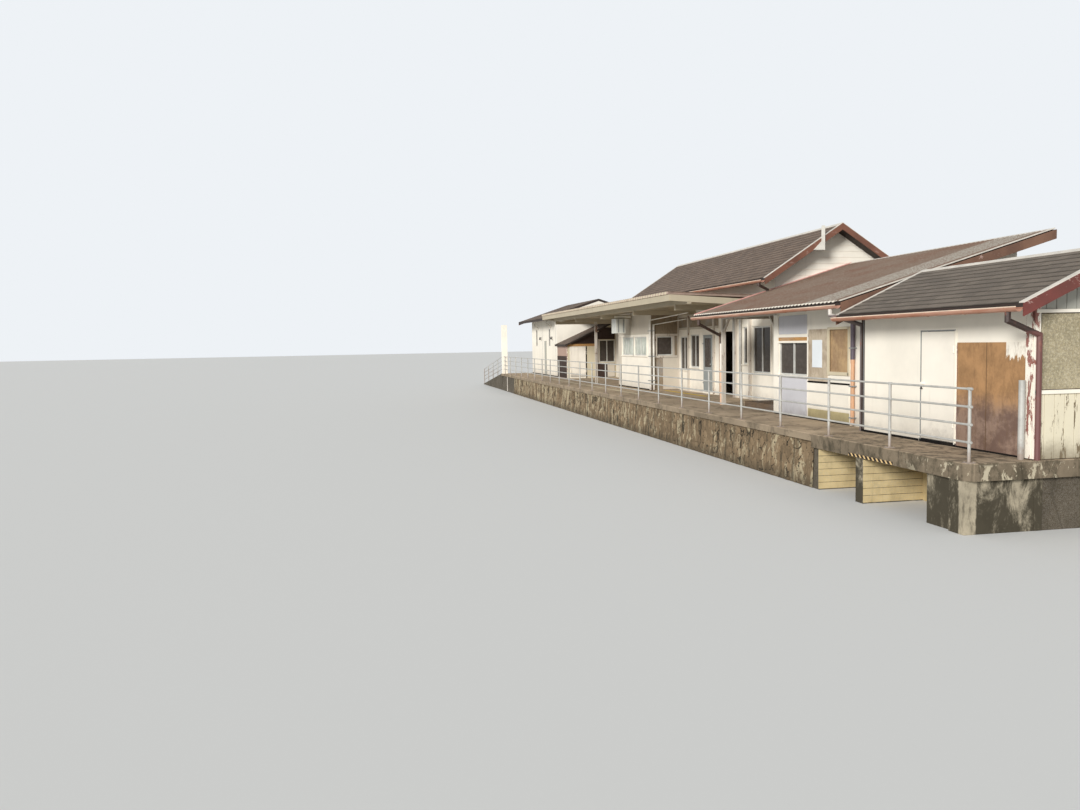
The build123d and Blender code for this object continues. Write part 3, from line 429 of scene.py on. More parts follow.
def frosted(name, base):
    """Patterned glass with pale and greenish streaks that run down."""
    f = Finish(name, 0.35, specular=0.4)
    streak = f.noise(26.0, (1, 1, 0.10), 5.0, 0.7, 0.3)
    f.start(base, 0.45, 1.0, f.fade(streak, 0.40, 0.62))
    f.layer(shade(hue("8f9a88"), 0.9), f.noise(7.0, detail=4.0), 0.4, 0.7, 0.0, 0.5)
    return f.finish(f.cells(160.0), 0.25, 0.001)


def stone_faces(name, base):
    """Stones of the platform wall: dark and mossy, with ragged pale patches drawn out down the wall."""
    f = Finish(name, 0.9, specular=0.2)
    moss, pale = hue("moss"), hue("pale_stone")
    f.start(base, 0.62, 1.30, f.named("tone"))
    cloud = f.noise(24.0, detail=8.0, roughness=0.7)
    f.layer(shade(base, 1.35), cloud, 0.3, 0.7, 0.0, 0.6)
    more_far_off = f.fade(f.axes["X"], x_of(16.0), x_of(5.0), 0.045, 0.0)
    patch = f.plus(f.noise(6.0, (1, 1, 0.50), 9.0, 0.76, 0.9), more_far_off)
    f.layer(f.mix(cloud, shade(pale, 0.7), pale), patch, 0.535, 0.575, 0.0, 0.85)
    f.layer(shade(moss, 0.62), f.noise(9.0, (1, 1, 0.12), 7.0, 0.7, 0.5), 0.50, 0.66, 0.0, 0.8)
    f.layer(shade(moss, 0.8), f.axes["Z"], 0.02, 0.16, 0.55, 0.0)
    f.layer(shade(moss, 0.42), f.named("joint"), 0.0, 0.7, 0.8, 0.0)
    return f.finish(f.noise(160.0), 0.5)


def slab(name, base):
    """Worn concrete of the near slab: mossy, cracked on top, pale scabs at the corner, striped tape."""
    f = Finish(name, 0.92, specular=0.15)
    x, y, z = (f.axes[axis] for axis in "XYZ")
    moss = hue("moss")
    f.start(base, 0.75, 1.30, f.fade(f.noise(3.0, detail=7.0, roughness=0.7), 0.3, 0.7))
    growth = f.noise(8.0, (1, 1, 0.7), 9.0, 0.75)
    f.layer(moss, growth, 0.46, 0.60, 0.0, 0.7)
    f.layer(shade(moss, 0.9), z, 0.524, 0.529, 0.6, 0.0)
    f.layer(shade(moss, 0.4), f.cracks(2.2, (1, 1.6, 0.2)), 0.008, 0.020, 0.3, 0.0)
    scab = f.fade(f.noise(10.0, (1, 1, 0.6), 7.0, 0.72, 0.4), 0.525, 0.565)
    near = f.times(f.fade(x, x_of(0.95), x_of(0.35)), f.fade(z, 0.526, 0.500))
    f.cover(hue("b5aa92"), f.times(scab, near))
    slant = f.math("FRACT", f.times(f.plus(x, z), 15.0))
    stripe = f.mix(f.fade(slant, 0.60, 0.64), hue("332c26"), hue("d3b480"))
    place = f.times(f.between("X", x_of(1.62), x_of(0.93), 0.002), f.between("Z", 0.402, 0.428, 0.001))
    front = f.fade(y, LOW[1] + 0.002, LOW[1] + 0.004, 1.0, 0.0)
    f.cover(stripe, f.times(place, front))
    return f.finish(f.plus(f.noise(190.0, detail=3.0), growth), 0.5, 0.003)


def deck(name, base):
    """Concrete of the platform with two worn painted lines along it."""
    f = Finish(name, 0.92, specular=0.15)
    moss = hue("moss")
    f.start(base, 0.98, 1.45, f.fade(f.noise(2.0, detail=7.0, roughness=0.7), 0.3, 0.7))
    f.layer(moss, f.noise(5.0, (0.6, 1, 1), 9.0, 0.75), 0.50, 0.64, 0.0, 0.5)
    f.layer(shade(moss, 0.9), f.axes["Z"], 0.524, 0.529, 0.45, 0.0)
    f.layer(shade(moss, 0.5), f.cracks(1.4, (0.7, 1.8, 0.2)), 0.006, 0.016, 0.3, 0.0)
    top = f.fade(f.axes["Z"], 0.526, 0.529)
    worn = f.fade(f.noise(14.0, detail=7.0, roughness=0.7), 0.40, 0.50, 0.35, 1.0)
    for ends, sides, code in (((17.0, 9.4), (0.475, 0.535), "d8cfae"),
                              ((10.4, 8.3), (1.27, 1.36), "cfb044")):
        line = f.times(f.between("X", *map(x_of, ends), 0.02), f.between("Y", *map(y_of, sides), 0.003))
        f.cover(hue(code), f.times(f.times(line, top), worn))
    return f.finish(f.noise(190.0, detail=3.0), 0.5)


def piers(name, base):
    """Piers under the slab: a pale rounded corner beside stretches black with growth."""
    f = Finish(name, 0.92, specular=0.15)
    cloud = f.noise(6.0, detail=8.0, roughness=0.7)
    f.start(base, 0.75, 1.15, f.fade(cloud, 0.3, 0.7))
    corner_strip = f.times(f.fade(f.axes["X"], x_of(0.125), x_of(0.100)),
                           f.fade(f.axes["Y"], y_of(0.125), y_of(0.100)))
    growth = f.plus(f.noise(5.0, (1, 1, 0.5), 9.0, 0.75, 0.4), corner_strip, -0.17)
    low = f.fade(f.axes["Z"], 0.15, 0.42, 0.04, -0.02)
    f.layer(shade(hue("moss"), 0.62), f.plus(growth, low), 0.37, 0.55, 0.0, 0.93)
    return f.finish(cloud, 0.5, 0.003)


def panels(name, base):
    """Weathered plywood: the store's brown sheets, torn white at a corner, and the middle wing's paler."""
    f = Finish(name, 0.8)
    x, z = f.axes["X"], f.axes["Z"]
    grain = f.noise(18.0, (1.4, 6, 0.45), 8.0, 0.7, 0.6)
    cloud = f.noise(4.5, detail=7.0, roughness=0.7)
    f.start(base, 0.92, 1.28, f.fade(cloud, 0.36, 0.62))
    lower = f.mix(f.fade(cloud, 0.4, 0.6), hue("70594d"), hue("967d6c"))
    f.layer(lower, f.plus(z, cloud, 0.35), 0.98, 1.22, 1.0, 0.0)
    f.layer(hue("6f4650"), f.plus(x, cloud, 0.03), x_of(0.912), x_of(0.880), 0.85, 0.0)
    f.cover(shade(base, 0.35), f.between("X", x_of(0.560), x_of(0.553), 0.002))
    jag = f.noise(34.0, (1, 1, 0.12), 4.0, 0.8)
    torn = f.times(f.fade(f.plus(z, jag, -0.22), 1.175, 1.182), f.fade(x, x_of(0.345), x_of(0.335)))
    f.cover(hue("white"), torn)
    column = f.mix(f.fade(cloud, 0.35, 0.65), hue("a89883"), hue("c2b39c"))
    window = f.mix(f.fade(cloud, 0.35, 0.65), hue("93785c"), hue("b3966f"))
    middle_wing = f.mix(f.fade(x, x_of(3.38), x_of(3.37)), column, window)
    f.layer(middle_wing, x, x_of(2.0), x_of(1.9), 1.0, 0.0)
    f.layer(shade(base, 0.5), grain, 0.45, 0.72, 0.0, 0.45)
    return f.finish(grain, 0.4, 0.0015)


def verge_paint(name, base):
    """Bargeboards: maroon and peeling on the near wing, brown on the middle wing, red-brown on the hall."""
    f = Finish(name, 0.7)
    x = f.axes["X"]
    fine = f.noise(150.0, detail=4.0)
    f.tone = f.mix(f.fade(x, x_of(8.0), x_of(4.0)), hue("7a4a3a"), hue("795a48"))
    f.layer(base, x, x_of(1.0), x_of(0.8))
    f.layer(hue("4b352d"), f.noise(3.0, detail=6.0), 0.4, 0.7, 0.0, 0.5)
    flake = f.fade(f.noise(16.0, (1, 0.35, 0.6), 8.0, 0.72, 0.4), 0.60, 0.625)
    bare = f.times(flake, f.fade(x, x_of(5.2), x_of(0.9), 0.35, 1.0))
    f.cover(f.mix(fine, hue("a27c72"), hue("bba69a")), bare)
    return f.finish(f.math("SUBTRACT", fine, bare), 0.35, 0.0015)


def gutter_metal(name, base):
    """Copper-coloured gutters: faded pink patches and dark streaks drawn out along them."""
    f = Finish(name, 0.5, specular=0.4)
    faded = f.fade(f.noise(2.5, (0.5, 3, 3), 6.0, 0.65), 0.35, 0.65)
    f.tone = f.mix(faded, shade(base, 0.85), hue("bd917c"))
    line = f.noise(12.0, (0.25, 9, 9), 6.0, 0.7)
    f.layer(hue("6d3f2b"), line, 0.52, 0.70, 0.0, 0.7)
    return f.finish(line, 0.25, 0.001)


def pipe_paint(name, base):
    """Downpipes: maroon at the near corner, dark in the wing's angle below the near wing's eave, partly
    paint and partly painted shade, peach and white further on.
    """
    f = Finish(name, 0.55, specular=0.4)
    x, z = f.axes["X"], f.axes["Z"]
    spot = f.noise(20.0, (1, 1, 0.4), 7.0, 0.72)
    # In the wings' angle the pipe is dark below the near wing's eave and pale above: partly paint, partly
    # painted shade.
    angle = f.mix(f.fade(z, 1.68, 1.70), hue("6b605d"), hue("cfc8bd"))
    waiting = f.mix(f.fade(z, 1.02, 1.04), hue("dcb698"), hue("ddd5c9"))
    waiting = f.mix(f.fade(z, 1.40, 1.42), waiting, hue("4a3a32"))
    near_corner = f.mix(f.fade(z, 1.47, 1.49), base, hue("3b2d28"))
    f.tone = f.mix(f.fade(x, x_of(2.0), x_of(1.0)), angle, near_corner)
    f.layer(waiting, x, x_of(5.4), x_of(4.4), 1.0, 0.0)
    f.layer(hue("8e5a48"), spot, 0.55, 0.68, 0.0, 0.7)
    return f.finish(spot, 0.25, 0.0012)


FINISHES = {
    "store_slate": (slate, "store_slate"),
    "brown_slate": (slate, "brown_slate"),
    "ribbed_sheet": (ribbed, "ribbed_roof"),
    "roof_felt": (timber, "3a302a"),
    "cap_metal": (metal, "cap", {"rusted": 0.02, "roughness": 0.5}),
    "sheet_metal": (metal, "sheet", {"rusted": 0.12, "roughness": 0.6}),
    "pink_flashing": (metal, "d29a8e", {"rusted": 0.02, "roughness": 0.55}),
    "white_paint": (paint, "white", {"streak": 0.12, "grime": 0.22}),
    "clean_white": (paint, "white", {"streak": 0.08}),
    "board_white": (paint, "white", {"peel": 0.03, "streak": 0.16, "grain": (0.2, 0.2, 1)}),
    "shaded_white": (paint, "c9bfae", {"streak": 0.25, "under": "6b5b49"}),
    "bluish_panel": (paint, "c5c3c5", {"streak": 0.12, "grime": 0.3}),
    "peeling_white": (paint, "white", {"under": "96655a", "peel": 0.235, "streak": 0.25,
                                       "grain": (1, 1, 0.25)}),
    "peeling_grey": (paint, "c9bfb0", {"under": "7a5b47", "peel": 0.15, "streak": 0.3,
                                       "grain": (1, 1, 0.3)}),
    "grey_boards": (paint, "a9a79c", {"under": "5f5a50", "peel": 0.06, "streak": 0.4,
                                      "grain": (1, 1, 0.2)}),
    "foot_boards": (paint, "dcd2b8", {"under": "7a6c55", "peel": 0.185, "streak": 0.5, "grain": (1, 1, 0.2),
                                     "grime": 0.6}),
    "cream_paint": (paint, "cream", {"under": "8b7550", "peel": 0.10, "streak": 0.3}),
    "olive_panel": (concrete, "olive", {"dark": "6a6346", "growth": 0.2, "drip": 0.4, "speck": 0.6}),
    "olive_strip": (paint, "b9ab80", {"streak": 0.3, "grime": 0.4}),
    "head_strip": (timber, "b98b55"),
    "maroon_paint": (verge_paint, "maroon"),
    "shed_red": (paint, "brick", {"streak": 0.4, "peel": 0.10, "under": "c9b09c"}),
    "dark_boards": (timber, "3d2d25", {"stretch": UPRIGHT}),
    # Beige-brown boards of the bay's side and the hall's upper wall: partly the boards' own tone, partly
    # painted shade under the canopy.
    "bay_boards": (timber, "95856f", {"stretch": UPRIGHT, "grey": 0.5}),
    "rusty_timber": (timber, "a3522f", {"grey": 0.1}),
    "timber": (timber, "timber"),
    "panel_boards": (panels, "9c7751"),
    "bare_notice": (paint, "dfe3e4", {"streak": 0.08}),
    "canopy_paint": (paint, "b2a68e", {"under": "6d5a44", "peel": 0.05, "grain": (0.3, 1, 1)}),
    "soffit_paint": (paint, "a59880", {"under": "6d5a44", "streak": 0.3}),
    "deck_concrete": (deck, "concrete"),
    "ramp_concrete": (concrete, "6b6459", {"growth": 0.6, "cracks": 0.3}),
    "pier_concrete": (piers, "a79c86"),
    "form_board": (concrete, "form_board", {"growth": 0.18, "drip": 0.4}),
    "gap_shadow": (concrete, "1d1815", {"growth": 0.1}),
    "gutter": (gutter_metal, "gutter"),
    # Pale colour of the gutter beads: a painted highlight along each gutter's lip.
    "gutter_rim": (metal, "e0c6ae", {"rusted": 0.05, "roughness": 0.5}),
    "pipe": (pipe_paint, "pipe"),
    "rail_paint": (metal, "rail", {"rust": "7c5a42", "rusted": 0.08, "roughness": 0.5, "metallic": 0.15,
                                   "foot": 0.5}),
    "white_metal": (metal, "d9d4c8", {"rusted": 0.03, "roughness": 0.5, "foot": 0.3}),
    "grey_metal": (metal, "8b8d8b", {"rusted": 0.04, "roughness": 0.5}),
    "peach_pipe": (metal, "cd9f7b", {"rusted": 0.08, "roughness": 0.55}),
    # Dark purple of the pipe head in the wings' angle: partly its paint, partly painted shade.
    "purple_pipe": (metal, "5b5058", {"rusted": 0.08, "roughness": 0.5}),
    "dark_metal": (metal, "3b3734", {"rusted": 0.05, "roughness": 0.5}),
    "bare_aluminium": (metal, "frame", {"rusted": -0.1, "roughness": 0.42, "metallic": 0.25}),
    "door_paint": (paint, "door", {"peel": 0.02, "streak": 0.16, "grime": 0.5}),
    "office_paint": (paint, "8f9390", {"streak": 0.15}),
    "lamp_plastic": (paint, "c8c7bd", {"streak": 0.12, "roughness": 0.4}),
    "lamp_tube": (paint, "f1eee2", {"streak": 0.02, "roughness": 0.3}),
    "glass": (glass, "glass"),
    "frosted_glass": (frosted, "dfe1d2"),
    "stone_faces": (stone_faces, "stone"),
    "slab_concrete": (slab, "concrete"),
}


@functools.cache
def finish(name):
    """Finish by name, made once."""
    recipe, base, *extra = FINISHES[name]
    return recipe(name, hue(base), **(extra[0] if extra else {}))


def wear(**nodes):
    """Give CAD nodes their finishes: by finish, the names of the nodes with spaces between them."""
    for name, listed in nodes.items():
        for node in listed.split():
            mesh = frame["nodes"][node].data
            mesh.materials.clear()
            mesh.materials.append(finish(name))


def put(name, points, faces, finish_name, slot, body="station", smooth=False, **attributes):
    """Mesh object from whole arrays: points, face arrays of one width each, and values by point."""
    mesh = bpy.data.meshes.new(name)
    points = np.ascontiguousarray(points, np.float32).reshape(-1, 3)
    corners = np.concatenate([rows.ravel() for rows in faces]).astype(np.int32)
    totals = np.concatenate([np.full(len(rows), rows.shape[1]) for rows in faces]).astype(np.int32)
    mesh.vertices.add(len(points))
    mesh.vertices.foreach_set("co", points.ravel())
    mesh.loops.add(len(corners))
    mesh.loops.foreach_set("vertex_index", corners)
    mesh.polygons.add(len(totals))
    mesh.polygons.foreach_set("loop_start", np.concatenate([[0], np.cumsum(totals)[:-1]]).astype(np.int32))
    mesh.polygons.foreach_set("loop_total", totals)
    mesh.polygons.foreach_set("use_smooth", np.full(len(totals), smooth))
    for label, values in attributes.items():
        values = np.ascontiguousarray(values, np.float32).ravel()
        mesh.attributes.new(label, "FLOAT", "POINT").data.foreach_set("value", values)
    mesh.update(calc_edges=True)
    mesh.materials.append(finish(finish_name))
    piece = bpy.data.objects.new(name, mesh)
    bpy.context.scene.collection.objects.link(piece)
    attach(piece, body)
    return piece


def lofts(rings):
    """Points and faces of closed lofts from an array (pieces, rings, corners, 3).

    Quads join each ring to the next and a cap closes each end. Where a ring's
    area vector points back along its loft, the faces of that loft are turned
    over, so that all faces look outwards.
    """
    rings = np.array(rings, float)
    first, second = rings[:, 0], rings[:, 1]
    middle = first.mean(1, keepdims=True)
    area = np.cross(first - middle, np.roll(first, -1, 1) - middle).sum(1)
    way = second.mean(1) - first.mean(1)
    turned = (area * way).sum(1) < 0
    pieces, count, corners, _ = rings.shape
    ids = np.arange(pieces * count * corners).reshape(pieces, count, corners)
    after = np.roll(ids, -1, axis=2)
    sides = np.stack([ids[:, :-1], after[:, :-1], after[:, 1:], ids[:, 1:]], -1)
    sides[turned] = sides[turned][..., ::-1]
    caps = np.stack([ids[:, 0, ::-1], ids[:, -1]], 1)
    caps[turned] = caps[turned][..., ::-1]
    return rings.reshape(-1, 3), [sides.reshape(-1, 4), caps.reshape(-1, corners)]


def columns_of(rows, count):
    """Arrays of the first values of all rows, one array for each."""
    return (np.array([row[i] for row in rows], float) for i in range(count))


def put_bars(name, rows, finish_name, slot, ease=0.12):
    """Object of straight bars with eased edges.

    Each row is start, end, the direction of the width, width and depth. The
    profile is a rectangle whose corners are cut by a share of its smaller side.
    """
    start, end, across, width, depth = columns_of(rows, 5)
    width, depth = width[:, None], depth[:, None]
    run = end - start
    run /= np.linalg.norm(run, axis=1, keepdims=True)
    across = across - (across * run).sum(1, keepdims=True) * run
    across /= np.linalg.norm(across, axis=1, keepdims=True)
    other = np.cross(run, across)
    cut = ease * np.minimum(width, depth)
    a, b = width / 2, depth / 2
    profile = ((a - cut, b), (a, b - cut), (a, cut - b), (a - cut, -b), (cut - a, -b), (-a, cut - b),
               (-a, b - cut), (cut - a, b))
    ring = np.stack([across * u + other * v for u, v in profile], 1)
    rings = np.stack([start[:, None] + ring, end[:, None] + ring], 1)
    return put(name, *lofts(rings), finish_name, slot)


def put_tubes(name, rows, finish_name, slot, body="station", profile=((0.0, 1.0), (1.0, 1.0)), corners=10):
    """Object of round bars.

    Each row is start, end and radius. Each ring of the profile lies at a share
    of the run and has a share of the radius, and its points are the sum of two
    directions across the run by the cosine and the sine of a turn.
    """
    start, end, radius = columns_of(rows, 3)
    run = end - start
    way = run / np.linalg.norm(run, axis=1, keepdims=True)
    side = np.cross(way, np.where(np.abs(way[:, 2:]) > 0.9, ALONG, UP))
    side /= np.linalg.norm(side, axis=1, keepdims=True)
    other = np.cross(way, side)
    turns = np.linspace(0, 2 * np.pi, corners, endpoint=False)[None, :, None]
    circle = side[:, None] * np.cos(turns) + other[:, None] * np.sin(turns)
    share, wide = np.array(profile).T
    middle = start[:, None] + run[:, None] * share[None, :, None]
    rings = middle[:, :, None] + circle[:, None] * (radius[:, None] * wide[None])[:, :, None, None]
    return put(name, *lofts(rings), finish_name, slot, body)


def front_boards(place, pieces):
    """Boards on a front, piece by piece: name, finish and slot.

    Each of a piece's rows is near and far station, foot, head and thickness.
    """
    for (name, finish_name, slot), *rows in pieces:
        put_bars(name, [((x_of(far), y_of(place) - thick / 2, (low + high) / 2),
                         (x_of(near), y_of(place) - thick / 2, (low + high) / 2), UP, high - low, thick)
                        for near, far, low, high, thick in rows], finish_name, slot, BOARD_EASE)


def end_boards(station, pieces):
    """Boards on a wall that looks along the building, piece by piece: name, finish and slot.

    Each of a piece's rows is front and back place, foot, head and thickness.
    """
    for (name, finish_name, slot), *rows in pieces:
        put_bars(name, [((x_of(station) + thick / 2, y_of(front), (low + high) / 2),
                         (x_of(station) + thick / 2, y_of(back), (low + high) / 2), UP, high - low, thick)
                        for front, back, low, high, thick in rows], finish_name, slot, BOARD_EASE)


def trimmed(openings, sill=0.020, casing=0.024):
    """Rows of sills and casings round openings of a front, each of them near, far, foot and head."""
    rows = []
    for near, far, low, high in openings:
        rows += [(near - 0.03, far + 0.03, low - sill, low, 0.024),
                 (near - casing, far + casing, high, high + casing, 0.010),
                 (near - casing, near, low, high, 0.009), (far, far + casing, low, high, 0.009)]
    return rows


def corner(node):
    """Lowest and highest corner of a CAD node as arrays."""
    low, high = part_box(node)
    return np.array(low), np.array(high)


def relief(front, back):
    """Points and faces of a closed sheet from a grid of front points (columns, rows, 3).

    The back lies off the front's border by a vector. Quads join the border to
    it, and strips between its lower and upper edge close it.
    """
    columns, rows, _ = front.shape
    ids = np.arange(columns * rows).reshape(columns, rows)
    grid = np.stack([ids[:-1, :-1], ids[1:, :-1], ids[1:, 1:], ids[:-1, 1:]], -1).reshape(-1, 4)
    low = np.arange(columns) + columns * rows
    high = low + columns
    under = np.stack([ids[:-1, 0], low[:-1], low[1:], ids[1:, 0]], -1)
    over = np.stack([ids[:-1, -1], ids[1:, -1], high[1:], high[:-1]], -1)
    rear = np.stack([low[:-1], high[:-1], high[1:], low[1:]], -1)
    start = np.concatenate([ids[0], [high[0], low[0]]])[None]
    end = np.concatenate([ids[-1, ::-1], [low[-1], high[-1]]])[None]
    points = np.concatenate([front.reshape(-1, 3), front[:, 0] + back, front[:, -1] + back])
    return points, [grid, under, over, rear, start, end]


class Slope:
    """Top surface of one roof slope between its eave and its upper edge.

    Side -1 is the track side of a gabled roof, 1 its back, and 0 a lean-to.
    """

    def __init__(self, node, thickness, side=0):
        low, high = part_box(node)
        self.x_ends = (low.x, high.x)
        self.eave = (low.y if side <= 0 else high.y, low.z + thickness)
        self.top = (high.y if side == 0 else (low.y + high.y) / 2, high.z)
        run = np.subtract(self.top, self.eave)
        self.length = float(np.hypot(*run))
        self.up = run / self.length
        self.out = np.array((-self.up[1], self.up[0])) * (1 if self.up[0] > 0 else -1)

    def at(self, x, up, out):
        """Points from X, distances up the slope and distances off its surface."""
        y = self.eave[0] + up * self.up[0] + out * self.out[0]
        z = self.eave[1] + up * self.up[1] + out * self.out[1]
        return np.stack(np.broadcast_arrays(x, y, z), -1)


def lay_slates(name, slope, margin, finish_name, slot, seed):
    """Slates in courses up a slope, each a thin wedge that rests on the course below.

    The edges between slates are shifted by half a slate in every second course
    and by a small random amount. The tail of each lies two thicknesses off the
    roof and its head half a thickness, a little unevenly. The tail attribute is
    1 at its lower edge and 0 at its head.
    """
    roof = settings("roof")
    rng = np.random.default_rng(seed)
    x0, x1 = slope.x_ends[0] + margin, slope.x_ends[1] - margin
    reach = slope.length - margin
    courses = int(round(reach / roof.course))
    step = reach / courses
    columns = int(round((x1 - x0) / roof.slate_width))
    width = (x1 - x0) / columns
    gap, least_width, wander = 0.0025, 0.012, 0.0015
    course, column = np.indices((courses, columns + 1)).reshape(2, -1)
    left = x0 + (column - 0.5 * (course % 2)) * width
    edge = rng.normal(0, wander, len(left))
    left, right = np.clip(left + edge, x0, x1), np.clip(left + width - gap, x0, x1)
    kept = right - left > least_width
    left, right, course = left[kept], right[kept], course[kept]
    count = len(left)
    thick = roof.thickness
    tail = course * step + rng.normal(0, 0.002, count)
    head = np.minimum((course + 1.3) * step, reach)
    lift = rng.uniform(0.8, 1.25, count) * thick
    up = np.stack([tail, tail, head, head], 1)
    out = np.stack(np.broadcast_arrays(lift * 0.6, lift * 0.6 + thick, thick * 0.9, thick * 0.1), 1)
    skew = rng.normal(0, 0.0009, (count, 1))
    rings = np.stack([slope.at(left[:, None], up + skew, out), slope.at(right[:, None], up - skew, out)], 1)
    tone = np.repeat(rng.uniform(0, 1, count), 8)
    tail = np.tile((1.0, 1.0, 0.0, 0.0), 2 * count)
    return put(name, *lofts(rings), finish_name, slot, tone=tone, tail=tail)


def stone_face(name, ends, heights, face, batter, seed):
    """Rubble wall as a sheet of stones.

    Middles are spread on a shifted grid. At each point the distance to the
    second nearest middle less that to the nearest, over the joint's width,
    raises the surface from the joint to the stone, and a slow wave roughens it.
    """
    stone = settings("stone")
    rng = np.random.default_rng(seed)
    cell = np.array((stone.stone_width, stone.stone_height))
    mesh_size, border_rows, far_off = 0.0125, 6, 9.0
    x = np.linspace(*ends, int((ends[1] - ends[0]) / mesh_size))
    z = np.linspace(*heights, int((heights[1] - heights[0]) / mesh_size) + 2)
    gx, gz = np.meshgrid(x, z, indexing="ij")
    columns = int((ends[1] - ends[0]) / cell[0]) + border_rows
    rows = int((heights[1] - heights[0]) / cell[1]) + border_rows
    shift = rng.uniform(-0.34, 0.34, (columns, rows, 2))
    own_tone = rng.uniform(0, 1, (columns, rows))
    own_rise = rng.uniform(0.3, 1.0, (columns, rows))
    row = (gz - heights[0]) / cell[1] + 2.5
    column = (gx - ends[0]) / cell[0] + 2.5
    nearest = np.full(gx.shape, far_off)
    second = nearest.copy()
    tone, rise = np.zeros(gx.shape), np.zeros(gx.shape)
    for dj in (-1, 0, 1):
        j = np.clip(row.astype(int) + dj, 0, rows - 1)
        stagger = 0.5 * (j % 2)
        for di in (-1, 0, 1):
            i = np.clip((column - stagger).astype(int) + di, 0, columns - 1)
            away = np.hypot((column - stagger - i - 0.5 - shift[i, j, 0]) * cell[0],
                            (row - j - 0.5 - shift[i, j, 1]) * cell[1] * 1.15)
            closer = away < nearest
            second = np.where(closer, nearest, np.minimum(second, away))
            nearest = np.where(closer, away, nearest)
            tone = np.where(closer, own_tone[i, j], tone)
            rise = np.where(closer, own_rise[i, j], rise)
    joint = np.clip((second - nearest) / stone.joint, 0, 1)
    joint = joint * joint * (3 - 2 * joint)
    rough = 0.0012 * np.sin(gx * 91 + 3 * np.sin(gz * 77)) * np.sin(gz * 113)
    out = 0.003 + joint * stone.relief * rise + rough * joint
    y = face + batter * (gz - heights[0]) / (heights[1] - heights[0]) - out
    points, faces = relief(np.stack([gx, y, gz], -1), np.array((0, 0.004, 0)))
    border = np.zeros(len(points) - gx.size)
    return put(name, points, faces, "stone_faces", "rubble", smooth=True,
               tone=np.concatenate([tone.ravel(), border]), joint=np.concatenate([joint.ravel(), border]))


